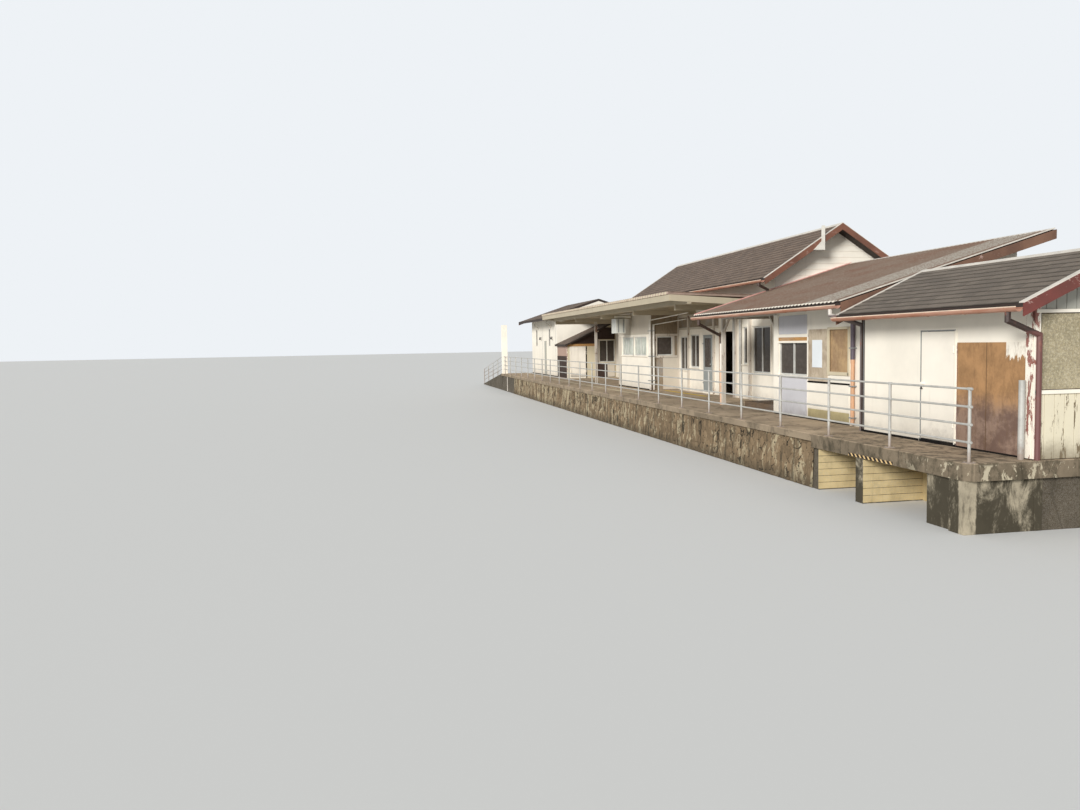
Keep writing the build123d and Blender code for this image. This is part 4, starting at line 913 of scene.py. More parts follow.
class STATION_OT_stage(bpy.types.Operator):
    """Camera at the photograph's viewing angle, pale floor and soft lamps"""
    bl_idname = "station.stage"
    bl_label = "Stage"

    def execute(self, context):
        stage = settings("stage")
        data = bpy.data.cameras.new("camera")
        data.lens = stage.lens
        data.sensor_width = 36.0
        data.clip_end = 300.0
        camera = bpy.data.objects.new("camera", data)
        camera.location = (NEAR_END + stage.setback, LOW[1] - stage.track_side, stage.eye_height)
        camera.rotation_euler = stage.aim
        context.scene.collection.objects.link(camera)
        context.scene.camera = camera
        lamp = bpy.data.lights.new("sun", "SUN")
        lamp.energy = stage.sun_strength
        lamp.angle = 0.30
        sun = bpy.data.objects.new("sun", lamp)
        sun.rotation_euler = stage.sun_aim
        context.scene.collection.objects.link(sun)
        self.light_from_all_round(context.scene, stage)
        self.lay_floor(stage)
        context.scene.view_settings.view_transform = "Standard"
        return {"FINISHED"}

    def light_from_all_round(self, scene, stage):
        """Soft light on the object, and the same pale sky for what sees past it."""
        world = bpy.data.worlds.new("sky")
        scene.world = world
        world.use_nodes = True
        nodes, links = world.node_tree.nodes, world.node_tree.links
        soft = nodes["Background"]
        soft.inputs["Color"].default_value = (*stage.sky_colour, 1.0)
        soft.inputs["Strength"].default_value = stage.sky_strength
        seen = nodes.new("ShaderNodeBackground")
        seen.inputs["Color"].default_value = (*stage.sky_colour, 1.0)
        path = nodes.new("ShaderNodeLightPath")
        factor = path.outputs["Is Camera Ray"]
        for ray in ("Is Glossy Ray", "Is Transmission Ray"):
            either = nodes.new("ShaderNodeMath")
            either.operation = "MAXIMUM"
            links.new(factor, either.inputs[0])
            links.new(path.outputs[ray], either.inputs[1])
            factor = either.outputs["Value"]
        mixed = nodes.new("ShaderNodeMixShader")
        links.new(factor, mixed.inputs[0])
        links.new(soft.outputs["Background"], mixed.inputs[1])
        links.new(seen.outputs["Background"], mixed.inputs[2])
        links.new(mixed.outputs["Shader"], nodes["World Output"].inputs["Surface"])

    def lay_floor(self, stage):
        """Wide pale square a hair under the building."""
        far, z = 160.0, -0.001
        mesh = bpy.data.meshes.new("floor")
        corners = [(-far, -far, z), (far, -far, z), (far, far, z), (-far, far, z)]
        mesh.from_pydata(corners, [], [(0, 1, 2, 3)])
        floor = bpy.data.objects.new("floor", mesh)
        bpy.context.scene.collection.objects.link(floor)
        pale = Finish("floor", 0.9, specular=0.1)
        pale.tone = tuple(stage.floor_colour)
        mesh.materials.append(pale.finish())
        floor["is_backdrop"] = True


class STATION_OT_platform(bpy.types.Operator):
    """Concrete slab and deck, rubble wall, boarded recess and piers"""
    bl_idname = "station.platform"
    bl_label = "Platform"

    def execute(self, context):
        wear(slab_concrete="near_slab", deck_concrete="platform_deck", form_board="recess_wall",
             ramp_concrete="stone_wall platform_core far_ramp", pier_concrete="platform_piers",
             clean_white="far_pillar")
        deck_low = corner("platform_deck")[0][2]
        face = corner("stone_wall")[0][1]
        stone_face("wall_stones", (x_of(20.2), x_of(2.3)), (0.0, deck_low - 0.002), face, 0.020, 5)
        x = x_of(21.45)
        put_tubes("drain_pipe", [((x, face - 0.003, 0.02), (x, face - 0.003, deck_low - 0.01), 0.013)],
                  "white_metal", "rubble", profile=((0.0, 1.25), (0.12, 1.25), (0.13, 1.0), (1.0, 1.0)))
        self.form_boards()
        low, high = corner("recess_wall")
        edge = (high[0] + 0.003, (low[1] + high[1]) / 2)
        strip = ((*edge, 0.002), (*edge, high[2] - 0.002), ACROSS, high[1] - low[1] + 0.016, 0.006)
        put_bars("recess_edge", [strip], "pier_concrete", "form_board_concrete")
        return {"FINISHED"}

    def form_boards(self):
        """Marks of the shuttering boards as low ribs of uneven depth, across the recess and on its ends."""
        rng = np.random.default_rng(11)
        low, high = corner("recess_wall")
        height, foot = 0.064, 0.008
        count = int((high[2] - 0.01) / height)
        rows = []
        for i in range(count):
            z = foot + height * (i + 0.5)
            depth = 0.006 + rng.uniform(-0.002, 0.003)
            rows.append(((low[0] + 0.002, low[1], z), (high[0] - 0.002, low[1], z), UP, height - 0.004,
                         depth))
        put_bars("form_boards", rows, "form_board", "form_board_concrete")
        back = low[1] - LOW[1] - 0.002
        for name, station in (("pier_boards", 1.400), ("recess_end_boards", 2.185)):
            marks = [(0.016, back, foot + height * i, 0.004 + height * (i + 1),
                      0.004 + rng.uniform(0.0, 0.003)) for i in range(count)]
            end_boards(station, (((name, "form_board", "form_board_concrete"), *marks),))


class STATION_OT_railing(bpy.types.Operator):
    """Tube railing along the platform and down the ramp, with collars and bolted feet"""
    bl_idname = "station.railing"
    bl_label = "Railing"

    def execute(self, context):
        wear(rail_paint="round_posts")
        spacing = settings("trim").post_spacing
        low, high = corner("railing")
        y, z = (low[1] + high[1]) / 2, low[2]
        foot = (high[1] - low[1]) / 2
        first = high[0] - foot
        x = first - spacing * np.arange(int((first - low[0]) / spacing) + 1)
        self.fence("railing", [(at, y, z) for at in x], high[2] - z, (low[0], y, z), (x[0], y, z))
        plate, bolt = 0.006, foot * 0.68
        middle, head = z + plate / 2, z + 2 * plate
        feet = [((at - foot, y, middle), (at + foot, y, middle), ACROSS, foot * 2, plate) for at in x]
        put_bars("railing_feet", feet, "rail_paint", "railing_paint")
        bolts = [((at + i * bolt, y + j * bolt, z + plate), (at + i * bolt, y + j * bolt, head), 0.005)
                 for at in x for i in (-1, 1) for j in (-1, 1)]
        put_tubes("railing_bolts", bolts, "rail_paint", "railing_paint", corners=6)
        self.ramp_fence()
        return {"FINISHED"}

    def ramp_fence(self):
        """The same railing down the ramp, with upright posts and sloping rails."""
        low, high = corner("ramp_railing")
        ramp_low, ramp_high = corner("far_ramp")
        y = (low[1] + high[1]) / 2
        toe, inset, sunk, height = 0.015, 0.012, 0.004, 0.55
        x = np.linspace(high[0] - inset, low[0] + inset, 5)
        top = toe + (ramp_high[2] - toe) * (x - ramp_low[0]) / (ramp_high[0] - ramp_low[0])
        base = [(at, y, z - sunk) for at, z in zip(x, np.minimum(top, ramp_high[2]))]
        self.fence("ramp_railing", base, height, (x[-1], y, top[-1]), (x[0], y, top[0]))

    def fence(self, node, base, height, a, b):
        """Posts with domed heads, four rails between two ends and a collar where a rail meets a post."""
        trim = settings("trim")
        posts = [(foot, (foot[0], foot[1], foot[2] + height), trim.post_radius) for foot in base]
        dome = ((0.0, 1.0), (0.975, 1.0), (0.992, 0.8), (1.0, 0.35))
        piece = put_tubes(node + "_posts", posts, "rail_paint", "railing_paint", profile=dome, corners=12)
        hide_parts(node)
        rises = [trim.lowest_rail + trim.rail_spacing * i for i in range(4)]
        rails = [((a[0], a[1], a[2] + rise), (b[0], b[1], b[2] + rise), trim.rail_radius) for rise in rises]
        put_tubes(node + "_rails", rails, "rail_paint", "railing_paint")
        slope = (b[2] - a[2]) / (b[0] - a[0])
        half = 0.026
        fall = slope * half
        collars = []
        for x, y, _ in base:
            for z in (a[2] + slope * (x - a[0]) + rise for rise in rises):
                collars.append(((x - half, y, z - fall), (x + half, y, z + fall), trim.rail_radius * 1.4))
        shoulder = ((0.0, 0.75), (0.1, 1.0), (0.9, 1.0), (1.0, 0.75))
        put_tubes(node + "_collars", collars, "rail_paint", "railing_paint", profile=shoulder)


class STATION_OT_walls(bpy.types.Operator):
    """Paint of all the walls, and white clapboards on the hall's gables"""
    bl_idname = "station.walls"
    bl_label = "Walls"

    def execute(self, context):
        wear(white_paint="near_front_wall middle_front_wall hall_front_wall hall_gable_walls "
                         "bay_front_wall far_long_walls annex_gable_walls lintels",
             shaded_white="middle_end_walls", board_white="back_walls", cream_paint="shed_end_wall",
             # The bay's side walls get beige-brown boards that are partly painted shade under the canopy.
             dark_boards="near_gable_walls shed_gable", bay_boards="bay_side_walls",
             panel_boards="wall_panels", shed_red="shed_front_wall", timber="waiting_step",
             peeling_grey="waiting_beams waiting_braces timber_columns", white_metal="gable_mast")
        low, high = corner("hall_gable_walls")
        self.clapboards("hall_clapboards", low, high, high[0], 1)
        self.clapboards("hall_far_clapboards", low, high, low[0], -1)
        return {"FINISHED"}

    def clapboards(self, name, low, high, x, facing):
        """Boards across a gable, each a wedge whose lower edge stands out over the next.

        The ends follow the wall's edges and the roof's underside: the half width
        at a height is the ridge's height less it, divided by the pitch.
        """
        wall = settings("wall")
        peak, ridge, pitch = high[2], (low[1] + high[1]) / 2, 0.65
        lower = np.arange(low[2], peak - 0.03, wall.board)
        upper = np.minimum(lower + wall.board + 0.004, peak - 0.012)
        z = np.stack([lower, lower, upper, upper], 1)
        stand = np.array([0.0, wall.board_thickness, 0.003, 0.0])
        reach = (peak - z) / pitch
        start = np.maximum(low[1], ridge - reach)
        end = np.minimum(high[1], ridge + reach)
        xs = np.broadcast_to(x + facing * stand, z.shape)
        rings = np.stack([np.stack([xs, start, z], -1), np.stack([xs, end, z], -1)], 1)
        put(name, *lofts(rings), "board_white", "clapboard")


class STATION_OT_near_wing(bpy.types.Operator):
    """Boards, panel and bands of the near gable, peeling corner post, grey lines painted as the shadow
    round the door, and a strip painted as the shadow in the gap at the foot
    """
    bl_idname = "station.near_wing"
    bl_label = "Near wing"

    def execute(self, context):
        self.gable()
        self.front()
        return {"FINISHED"}

    def gable(self):
        """Grey upright boards over a white band, a rough olive panel, a sill and boards at the foot."""
        low, high = corner("near_gable_walls")
        x, front, back = high[0], low[1], high[1]
        ridge, peak, pitch = (front + back) / 2, high[2], 0.458
        band, sill, width = 1.625, 1.03, 0.085
        upper, lower = [], []
        for i in range(int((back - front) / width) + 1):
            y = min(front + width * (i + 0.5), back - width / 2)
            top = peak - abs(y - ridge) * pitch - width * pitch / 2
            at = (x + 0.003, y)
            upper.append(((*at, band), (*at, top), ACROSS, width - 0.005, 0.008))
            lower.append(((*at, low[2] + 0.004), (*at, sill), ACROSS, width - 0.004, 0.008))
        put_bars("gable_boards", upper, "grey_boards", "panel_board")
        put_bars("gable_foot_boards", lower, "foot_boards", "panel_board")
        bands = [((x + 0.008, front, band), (x + 0.008, back, band), UP, 0.026, 0.020),
                 ((x + 0.010, front, sill), (x + 0.010, back, sill), UP, 0.030, 0.024)]
        put_bars("gable_bands", bands, "clean_white", "white_paint")
        z = (band + sill) / 2
        panel = ((x + 0.002, front + 0.05, z), (x + 0.002, back, z), UP, band - sill - 0.04, 0.006)
        put_bars("gable_panel", [panel], "olive_panel", "panel_board")
        out, eave_side = x_of(-0.112), y_of(0.72)
        purlins = [((x, y, z), (out, y, z), UP, 0.050, 0.055)
                   for y, z in ((eave_side, 1.787), (ridge, 2.036), (2 * ridge - eave_side, 1.787))]
        put_bars("purlin_ends", purlins, "rusty_timber", "white_paint")

    def front(self):
        """Corner post, grey lines painted as the shadow in the gap round the door, its hasp, and a dark
        strip painted as the shadow in the gap under the wall.
        """
        foot = DECK_TOP + 0.008
        front_boards(0.575, (
            (("corner_post", "peeling_white", "white_paint"), (0.056, 0.122, foot, 1.69, 0.016)),
            # Dark strips along the wall's foot: painted shadow in the gap under the wall.
            (("wall_foot_gap", "gap_shadow", "white_paint"), (1.42, 2.37, DECK_TOP, 0.551, 0.0035),
             (0.925, 1.42, DECK_TOP, 0.560, 0.0065), (0.11, 0.925, DECK_TOP, 0.544, 0.0035)),
            (("wall_joints", "grey_metal", "white_paint"), (2.33, 2.336, 0.56, 1.66, 0.0025))))
        end_boards(0.05, (
            (("corner_board", "peeling_white", "white_paint"), (0.566, 0.612, foot, 1.69, 0.013)),))
        front_boards(0.570, (
            # Grey lines at the door's far side and head: painted shadow in the gap round the door.
            (("store_door_lines", "grey_metal", "frame_paint"), (1.397, 1.408, 0.55, 1.508, 0.003),
             (0.935, 1.408, 1.498, 1.508, 0.003)),
            (("store_door_edge", "clean_white", "frame_paint"), (0.932, 0.944, 0.55, 1.50, 0.005))))
        x, y = x_of(1.385), y_of(0.562)
        ring = [((x, y, 1.035), (x, y, 1.0), 0.006), ((x - 0.014, y, 1.0), (x + 0.014, y, 1.0), 0.005)]
        put_tubes("door_hasp", ring, "dark_metal", "frame_paint", body="near_door", corners=6)


class STATION_OT_middle_wing(bpy.types.Operator):
    """Panels, strips and corner post of the middle wing, and the pipe in its angle"""
    bl_idname = "station.middle_wing"
    bl_label = "Middle wing"

    def execute(self, context):
        front_boards(0.775, (
            (("bare_notice", "bare_notice", "beige_paint"), (3.50, 3.72, 1.13, 1.44, 0.012)),
            (("boarded_frame", "cream_paint", "beige_paint"), (3.345, 3.380, 1.05, 1.575, 0.014),
             (2.94, 3.345, 1.055, 1.090, 0.014), (2.94, 3.345, 1.550, 1.575, 0.014),
             (2.93, 2.955, 1.055, 1.575, 0.014)),
            # Dark line over the white panel and dark strip at the foot: painted shadow.
            (("dark_rail", "gap_shadow", "white_paint"), (2.93, 3.83, 0.955, 0.972, 0.012),
             (2.93, 4.69, DECK_TOP, 0.552, 0.006)),
            (("white_panel", "clean_white", "white_paint"), (2.94, 3.83, 0.665, 0.952, 0.005)),
            (("olive_strip", "olive_strip", "white_paint"), (2.94, 3.83, 0.556, 0.655, 0.004)),
            (("bluish_panels", "bluish_panel", "white_paint"), (3.86, 4.57, 0.556, 0.998, 0.006),
             (3.86, 4.57, 1.515, 1.735, 0.005)),
            (("head_strip", "head_strip", "white_paint"), (3.85, 4.565, 1.434, 1.476, 0.009)),
            (("window_rails", "clean_white", "white_paint"), (3.82, 4.575, 1.476, 1.512, 0.013),
             (3.82, 4.575, 1.408, 1.434, 0.013), (3.82, 4.575, 0.998, 1.022, 0.022),
             (3.82, 3.845, 1.0, 1.5, 0.010)),
            (("wing_corner_post", "clean_white", "white_paint"), (4.575, 4.695, 0.545, 1.752, 0.014))))
        x, y = x_of(2.825), y_of(0.744)
        put_tubes("angle_pipe", [((x, y, 0.545), (x, y, 1.23), 0.020)], "peach_pipe", "pipe_paint",
                  profile=((0.0, 0.9), (0.03, 1.0), (0.94, 1.0), (0.945, 1.12), (1.0, 1.12)))
        # Dark purple pipe head: partly its paint, partly painted shade in the wings' angle.
        put_tubes("angle_pipe_head", [((x, y, 1.23), (x, y, 1.70), 0.024)], "purple_pipe", "pipe_paint")
        clips = [((x, y_of(0.776), z), (x, y_of(0.717), z), ALONG, 0.062, 0.012)
                 for z in (0.62, 0.95, 1.35)]
        put_bars("angle_pipe_clips", clips, "grey_metal", "pipe_paint")
        return {"FINISHED"}


class STATION_OT_hall(bpy.types.Operator):
    """Casings, sills and posts along the hall's front and its office bay"""
    bl_idname = "station.hall"
    bl_label = "Hall front"

    def execute(self, context):
        wall = 1.625
        windows = ((6.58, 7.20, 0.95, 1.66), (7.39, 7.56, 1.075, 1.66), (9.44, 9.90, 0.975, 1.57),
                   (10.02, 10.44, 0.92, 1.54))
        front_boards(wall, (
            (("hall_casings", "clean_white", "white_paint"), *trimmed(windows)),
            (("hall_posts", "peeling_grey", "white_paint"), (7.24, 7.30, DECK_TOP, 1.86, 0.030),
             (9.925, 9.985, DECK_TOP, 1.92, 0.030), (8.72, 8.78, DECK_TOP, 1.92, 0.024),
             (7.78, 7.84, DECK_TOP, 1.86, 0.024)),
            (("hall_rails", "shaded_white", "white_paint"), (6.46, 10.49, 1.90, 1.945, 0.018),
             (8.56, 10.49, 1.665, 1.700, 0.014)),
            # Beige-brown boards over the upper hall wall: partly their own tone, partly painted shade under
            # the canopy.
            (("hall_upper_boards", "bay_boards", "brown_panel"), (8.56, 10.48, 1.705, 1.895, 0.005))))
        end_boards(8.535, ((("doorway_lining", "head_strip", "white_paint"),
                            (wall + 0.002, wall + 0.050, 0.535, 1.575, 0.006)),))
        self.bay()
        return {"FINISHED"}

    def bay(self):
        """Frosted panes, casings and pipes of the office bay."""
        windows = ((10.78, 11.60, 1.19, 1.555), (11.63, 12.45, 1.19, 1.555))
        front_boards(1.075, (
            (("bay_casings", "clean_white", "white_paint"), *trimmed(windows, 0.026, 0.022)),
            (("bay_panels", "shaded_white", "white_paint"), (10.505, 12.735, 1.60, 1.98, 0.005),
             (12.50, 12.735, 0.54, 1.58, 0.004)),
            # Dark strip at the bay's foot: painted shadow in the gap under the wall.
            (("bay_foot", "gap_shadow", "white_paint"), (10.51, 12.73, DECK_TOP, 0.552, 0.006))))
        panes = ((10.803, 11.178), (11.202, 11.577), (11.653, 12.028), (12.052, 12.427))
        front_boards(1.0985, (
            (("frosted_panes", "frosted_glass", "window_glass"),
             *((*ends, 1.214, 1.532, 0.003) for ends in panes)),))
        side = 10.5
        end_boards(side, (
            (("bay_side_rails", "peeling_grey", "white_paint"), (1.10, 1.60, 1.150, 1.190, 0.016),
             (1.10, 1.60, 1.560, 1.600, 0.014), (1.155, 1.180, 1.19, 1.56, 0.012),
             (1.50, 1.53, 1.19, 1.56, 0.012), (1.59, 1.625, 0.54, 1.92, 0.016)),
            (("bay_side_foot", "shaded_white", "white_paint"), (1.30, 1.59, 0.55, 1.145, 0.005))))
        x = x_of(side) + 0.024
        first, second = y_of(1.043), y_of(1.112)
        pipes = [((x, first, 0.545), (x, first, 1.86), 0.021),
                 ((x, second, 0.545), (x, second, 1.78), 0.021),
                 ((x, first, 1.86), (x_of(8.4), y_of(1.02), 1.925), 0.010),
                 ((x, second, 1.775), (x_of(9.5), y_of(1.40), 1.85), 0.009)]
        put_tubes("bay_pipes", pipes, "white_metal", "white_paint")
        x = x_of(side)
        clips = [((x, y_of(1.015), z), (x, y_of(1.14), z), ALONG, 0.094, 0.014)
                 for z in (0.72, 1.18, 1.66)]
        put_bars("bay_pipe_clips", clips, "grey_metal", "white_paint")


class STATION_OT_far_buildings(bpy.types.Operator):
    """Boards, lamps and strips of the shed and the far annex"""
    bl_idname = "station.far_buildings"
    bl_label = "Shed and annex"

    def execute(self, context):
        annex = 0.975
        front_boards(annex, (
            (("annex_panel", "grey_boards", "white_paint"), (20.00, 20.27, 0.55, 1.54, 0.010)),
            (("annex_joints", "grey_metal", "white_paint"), (18.72, 18.727, 0.55, 1.95, 0.003),
             (20.60, 20.607, 0.55, 1.95, 0.003)),
            # Dark strip at the annex's foot: painted shadow in the gap under the wall.
            (("annex_foot", "gap_shadow", "white_paint"), (18.51, 22.29, DECK_TOP, 0.552, 0.005)),
            (("shed_lower_boards", "dark_boards", "brick_paint"), (17.262, 18.49, 0.54, 1.115, 0.008)),
            (("shed_corner_boards", "peeling_white", "brick_paint"), (17.252, 17.285, 0.54, 1.39, 0.012))))
        for name, far_jamb in (("slit_linings", 19.64), ("far_slit_linings", 21.58)):
            end_boards(far_jamb, (((name, "dark_boards", "white_paint"),
                                   (annex + 0.002, annex + 0.045, 1.39, 1.88, 0.004)),))
        end_boards(17.25, (
            (("shed_dark_boards", "dark_boards", "cream_paint"), (1.745, 1.838, 0.54, 1.74, 0.006),
             (1.838, 2.272, 0.54, 0.925, 0.006), (1.838, 2.272, 1.545, 1.86, 0.006)),
            (("shed_lower_panel", "shaded_white", "cream_paint"), (2.06, 2.26, 0.55, 0.90, 0.010)),
            (("shed_head", "head_strip", "cream_paint"), (0.985, 1.74, 1.375, 1.435, 0.016)),
            # Dark strip between the shed's doors and its cream panel: painted shadow in the gap.
            (("shed_gap", "gap_shadow", "cream_paint"), (1.470, 1.500, DECK_TOP, 1.37, 0.005)),
            (("shed_window_casing", "shaded_white", "cream_paint"), (1.815, 1.840, 0.92, 1.55, 0.012),
             (2.270, 2.295, 0.92, 1.55, 0.012), (1.815, 2.295, 0.905, 0.925, 0.018))))
        self.lamps(y_of(annex))
        return {"FINISHED"}

    def lamps(self, wall):
        """Two wall lamps, each a short arm with a turned shade."""
        arms, shades = [], []
        z, out = 1.61, wall - 0.05
        for x in map(x_of, (19.10, 20.75)):
            arms.append(((x, wall, z + 0.03), (x, out, z + 0.035), 0.006))
            shades.append(((x, out, z + 0.045), (x, out, z - 0.035), 0.034))
        put_tubes("lamp_arms", arms, "dark_metal", "window_aluminium")
        put_tubes("lamp_shades", shades, "dark_metal", "window_aluminium", corners=14,
                  profile=((0.0, 0.25), (0.12, 0.45), (0.45, 0.62), (1.0, 1.0)))


class STATION_OT_roofs(bpy.types.Operator):
    """Slates in courses, ribbed sheet on the middle wing, bargeboards, flashings and metal caps"""
    bl_idname = "station.roofs"
    bl_label = "Roofs"

    def execute(self, context):
        wear(roof_felt="near_roof middle_roof hall_roof link_roof annex_roof shed_roof",
             maroon_paint="bargeboards", cap_metal="metal_caps")
        cap = 0.045
        for wing, thickness, margin, finish_name, slot, seed in (
                ("near", 0.045, cap, "store_slate", "slate", 1),
                ("hall", 0.060, cap, "brown_slate", "brown_slate", 4),
                ("link", 0.050, 0, "brown_slate", "brown_slate", 6),
                ("annex", 0.060, 0, "brown_slate", "brown_slate", 8)):
            front, back = (Slope(wing + "_roof", thickness, side) for side in (-1, 1))
            lay_slates(wing + "_slates", front, margin, finish_name, slot, seed)
            lay_slates(wing + "_back_slates", back, margin, finish_name, slot, seed + 1)
        lay_slates("shed_slates", Slope("shed_roof", 0.040), 0, "brown_slate", "brown_slate", 10)
        slope = Slope("middle_roof", 0.060)
        self.ribbed_sheet(slope)
        self.strips(slope)
        return {"FINISHED"}

    def ribbed_sheet(self, slope):
        """Ribbed sheet of the middle wing: a sine wave along the building lifts it by up to a rib's height.

        Each cross-section runs up the slope in four points and back under the
        sheet. The tail attribute is 1 at the eave and 0 further up. A pale end
        closes each rib at the eave.
        """
        roof = settings("roof")
        far, near = slope.x_ends
        x = np.arange(far + 0.001, near - 0.001, roof.rib_pitch / 8)
        crest = 0.5 + 0.5 * np.sin(2 * np.pi * x / roof.rib_pitch)
        rise = 0.004 + crest * roof.rib_height
        ring = [slope.at(x, up, rise) for up in (-0.008, 0.006, 0.012, slope.length)]
        ring += [slope.at(x, up, rise - 0.003) for up in (slope.length, -0.008)]
        tails = (1.0, 1.0, 0.0, 0.0, 0.0, 1.0)
        put("ribbed_sheet", *lofts(np.stack(ring, 1)[None]), "ribbed_sheet", "brown_slate",
            crest=np.repeat(crest, len(tails)), tail=np.tile(tails, len(x)))
        crests = x[0] + roof.rib_pitch * (0.25 + np.arange(int((near - far) / roof.rib_pitch)))
        ends = [(slope.at(x, -0.013, 0.014), slope.at(x, 0.010, 0.014), ALONG, 0.026, 0.014)
                for x in crests]
        put_bars("rib_ends", ends, "clean_white", "brown_slate")

    def strips(self, slope):
        """Pink flashing against the hall, and pale strips along the top edge and the near end."""
        far, near = slope.x_ends
        x = far + 0.022
        flashing = (slope.at(x, 0.0, 0.020), slope.at(x, slope.length, 0.020), ALONG, 0.044, 0.018)
        put_bars("roof_flashing", [flashing], "pink_flashing", "brown_slate")
        up, x = slope.length - 0.024, near - 0.012
        strips = [(slope.at(far, up, 0.015), slope.at(near, up, 0.015), (0, *slope.up), 0.046, 0.010),
                  (slope.at(x, 0.0, 0.016), slope.at(x, slope.length, 0.016), ALONG, 0.022, 0.012)]
        put_bars("roof_edge_strips", strips, "cap_metal", "cap_metal")


class STATION_OT_gutters(bpy.types.Operator):
    """Half-round gutters with their hooks and beads painted pale as a highlight, and downpipes with their
    straps
    """
    bl_idname = "station.gutters"
    bl_label = "Gutters and pipes"

    def execute(self, context):
        wear(gutter="gutters", pipe="downpipes")
        mesh = frame["nodes"]["gutters"].data
        points = np.empty(len(mesh.vertices) * 3, np.float32)
        mesh.vertices.foreach_get("co", points)
        points = points.reshape(-1, 3)
        radius, close = 0.032, 0.004
        middles, beads = [], []
        for node, rim in (("near_roof", 1.650), ("middle_roof", 1.780), ("hall_roof", 2.300)):
            low, high = corner(node)
            x = np.arange(low[0] + 0.12, high[0] - 0.05, settings("trim").hook_spacing)
            middles.append(np.stack(np.broadcast_arrays(x, low[1] - radius, rim), -1))
            lip = low[1] - 2 * radius
            own = points[(abs(points[:, 1] - lip) < close) & (abs(points[:, 2] - rim) < close), 0]
            place = (lip + 0.002, rim + 0.002)
            beads.append(((own.min(), *place), (own.max(), *place), 0.005))
        self.hooks(np.concatenate(middles), radius)
        # The beads' pale finish is a painted highlight along the lip.
        put_tubes("gutter_beads", beads, "gutter_rim", "gutter_copper")
        return {"FINISHED"}

    def hooks(self, middles, radius):
        """Flat straps bent round the gutters: a rectangle carried round a half circle below each rim."""
        turns = np.radians(np.linspace(-8, 188, 13))
        ring = []
        for side, off in ((-0.005, 0.0004), (0.005, 0.0004), (0.005, 0.0026), (-0.005, 0.0026)):
            y, z = (-wave(turns) * (radius + off) for wave in (np.cos, np.sin))
            ring.append(np.stack(np.broadcast_arrays(side, y, z), -1))
        rings = middles[:, None, None, :] + np.stack(ring, 1)[None]
        put("gutter_hooks", *lofts(rings), "gutter", "gutter_copper")


class STATION_OT_canopy(bpy.types.Operator):
    """Corrugated sheet, fascia, beams and lamps over the platform"""
    bl_idname = "station.canopy"
    bl_label = "Canopy"

    def execute(self, context):
        wear(soffit_paint="canopy_deck", lamp_plastic="light_box",
             canopy_paint="canopy_fascia canopy_end_fascias canopy_beam canopy_cross_beams")
        self.corrugated_sheet()
        self.lamps()
        return {"FINISHED"}

    def corrugated_sheet(self):
        """Folded sheet carried along X: a steep sine wave of the distance, cut off flat above and below."""
        roof = settings("roof")
        low, high = corner("canopy_deck")
        x = np.arange(low[0] - 0.004, high[0] + 0.004, roof.sheet_pitch / 12)
        turns = 2 * np.pi * (x - x[0]) / roof.sheet_pitch
        wave = roof.sheet_wave * np.clip(0.5 + 0.85 * np.sin(turns), 0, 1) + 0.0015
        edge = corner("canopy_fascia")
        front, back = (edge[0][1] - 0.012, edge[1][2] + 0.002), (high[1], high[2] - 0.050)
        ring = [np.stack(np.broadcast_arrays(x, y, z + wave + off), -1)
                for (y, z), off in ((front, 0.0), (back, 0.0), (back, 0.0015), (front, 0.0015))]
        put("corrugated_sheet", *lofts(np.stack(ring, 1)[None]), "sheet_metal", "corrugated_sheet")
        count = int((high[0] - low[0]) / roof.sheet_pitch)
        crests = x[0] + roof.sheet_pitch * (0.25 + np.arange(count))
        y, z = front[0], front[1] + roof.sheet_wave / 2
        ends = [((x, y - 0.003, z), (x, y + 0.010, z), ALONG, 0.056, roof.sheet_wave - 0.004)
                for x in crests]
        put_bars("sheet_ends", ends, "cream_paint", "corrugated_sheet")

    def lamps(self):
        """Upright strips on the light box's near end, and the tube lamp over it in its tray."""
        low, high = corner("light_box")
        near, front = x_of(high[0]), low[1] - LOW[1]
        end_boards(near, ((("box_strips", "grey_metal", "lamp_plastic"),
                           *((front + a, front + b, low[2] + 0.012, high[2] - 0.012, 0.003)
                             for a, b in ((0.034, 0.058), (0.138, 0.168)))),))
        x, ends = x_of(near + 0.06), (low[1] - 0.02, high[1] + 0.13)
        tube, tray = ([(x, y, high[2] + rise) for y in ends] for rise in (0.032, 0.052))
        put_tubes("tube_lamp", [(*tube, 0.013)], "lamp_tube", "lamp_plastic")
        put_bars("lamp_tray", [(*tray, ALONG, 0.045, 0.012)], "clean_white", "lamp_plastic")


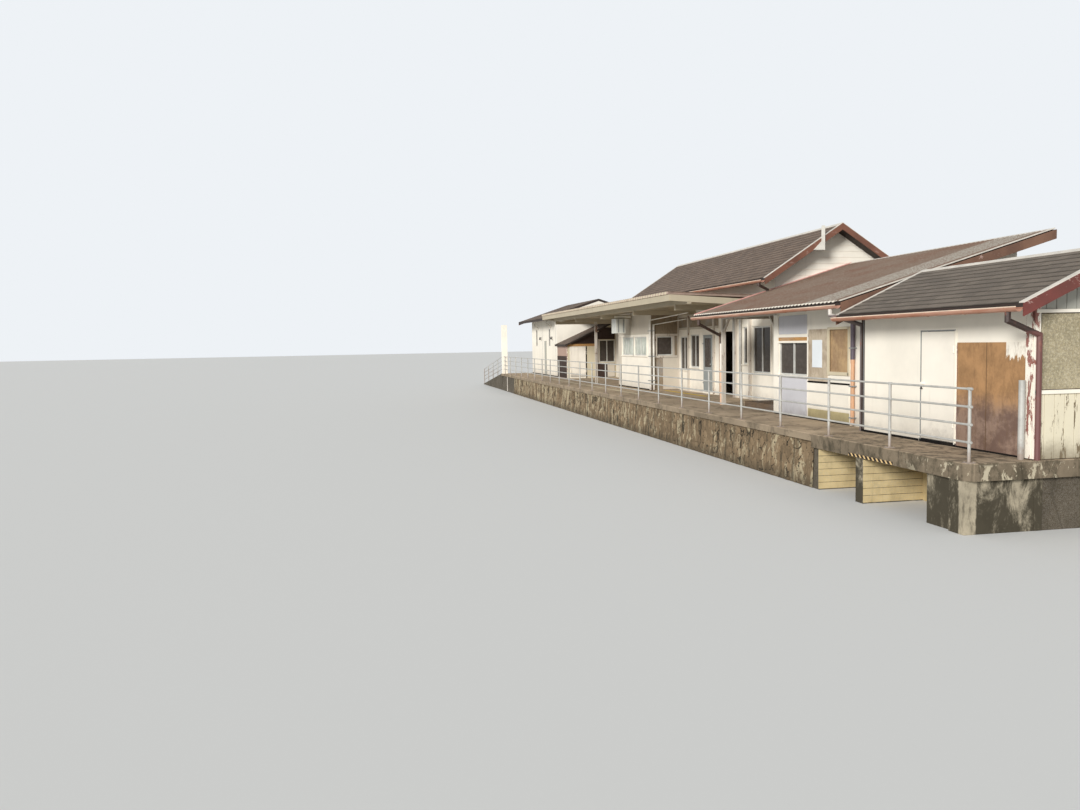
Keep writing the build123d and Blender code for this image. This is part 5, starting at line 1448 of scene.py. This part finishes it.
class STATION_OT_doors(bpy.types.Operator):
    """Store door, office door and the shed's two leaves"""
    bl_idname = "station.doors"
    bl_label = "Doors"

    def execute(self, context):
        wear(door_paint="near_door shed_front_door shed_back_door", office_paint="office_door",
             glass="office_door_glass", clean_white="door_jambs door_heads")
        return {"FINISHED"}


class STATION_OT_windows(bpy.types.Operator):
    """Window frames and panes"""
    bl_idname = "station.windows"
    bl_label = "Windows"

    def execute(self, context):
        wear(bare_aluminium="window_frames", glass="window_glass", white_metal="eave_brackets")
        return {"FINISHED"}


class STATION_PT_parts(bpy.types.Panel):
    """Buttons for the stage and each part of the station, and their sizes and colours"""
    bl_idname = "STATION_PT_parts"
    bl_label = "Country railway station"
    bl_space_type = "VIEW_3D"
    bl_region_type = "UI"
    bl_category = "Station"

    def draw(self, context):
        for step in STEPS:
            self.layout.operator(step.bl_idname)
        for group in map(settings, GROUPS):
            column = self.layout.column(align=True)
            for name in group.bl_rna.properties.keys():
                if name not in ("rna_type", "name"):
                    column.prop(group, name)


STEPS = (STATION_OT_stage, STATION_OT_platform, STATION_OT_railing, STATION_OT_walls,
         STATION_OT_near_wing, STATION_OT_middle_wing, STATION_OT_hall, STATION_OT_far_buildings,
         STATION_OT_roofs, STATION_OT_gutters, STATION_OT_canopy, STATION_OT_doors, STATION_OT_windows)
GROUPS = {"stage": StageSettings, "roof": RoofSettings, "wall": WallSettings, "stone": StoneSettings,
          "trim": TrimSettings}


def register():
    """Add the groups, the operators and the panel to Blender."""
    for name, group in GROUPS.items():
        bpy.utils.register_class(group)
        setattr(bpy.types.Scene, "station_" + name, bpy.props.PointerProperty(type=group))
    for step in STEPS:
        bpy.utils.register_class(step)
    bpy.utils.register_class(STATION_PT_parts)


def unregister():
    """Take the panel, the operators and the groups out of Blender again."""
    bpy.utils.unregister_class(STATION_PT_parts)
    for step in reversed(STEPS):
        bpy.utils.unregister_class(step)
    for name, group in GROUPS.items():
        delattr(bpy.types.Scene, "station_" + name)
        bpy.utils.unregister_class(group)


def main():
    """Dress the whole station."""
    register()
    for step in STEPS:
        group, name = step.bl_idname.split(".")
        getattr(getattr(bpy.ops, group), name)()


if __name__ == "__main__":
    main()
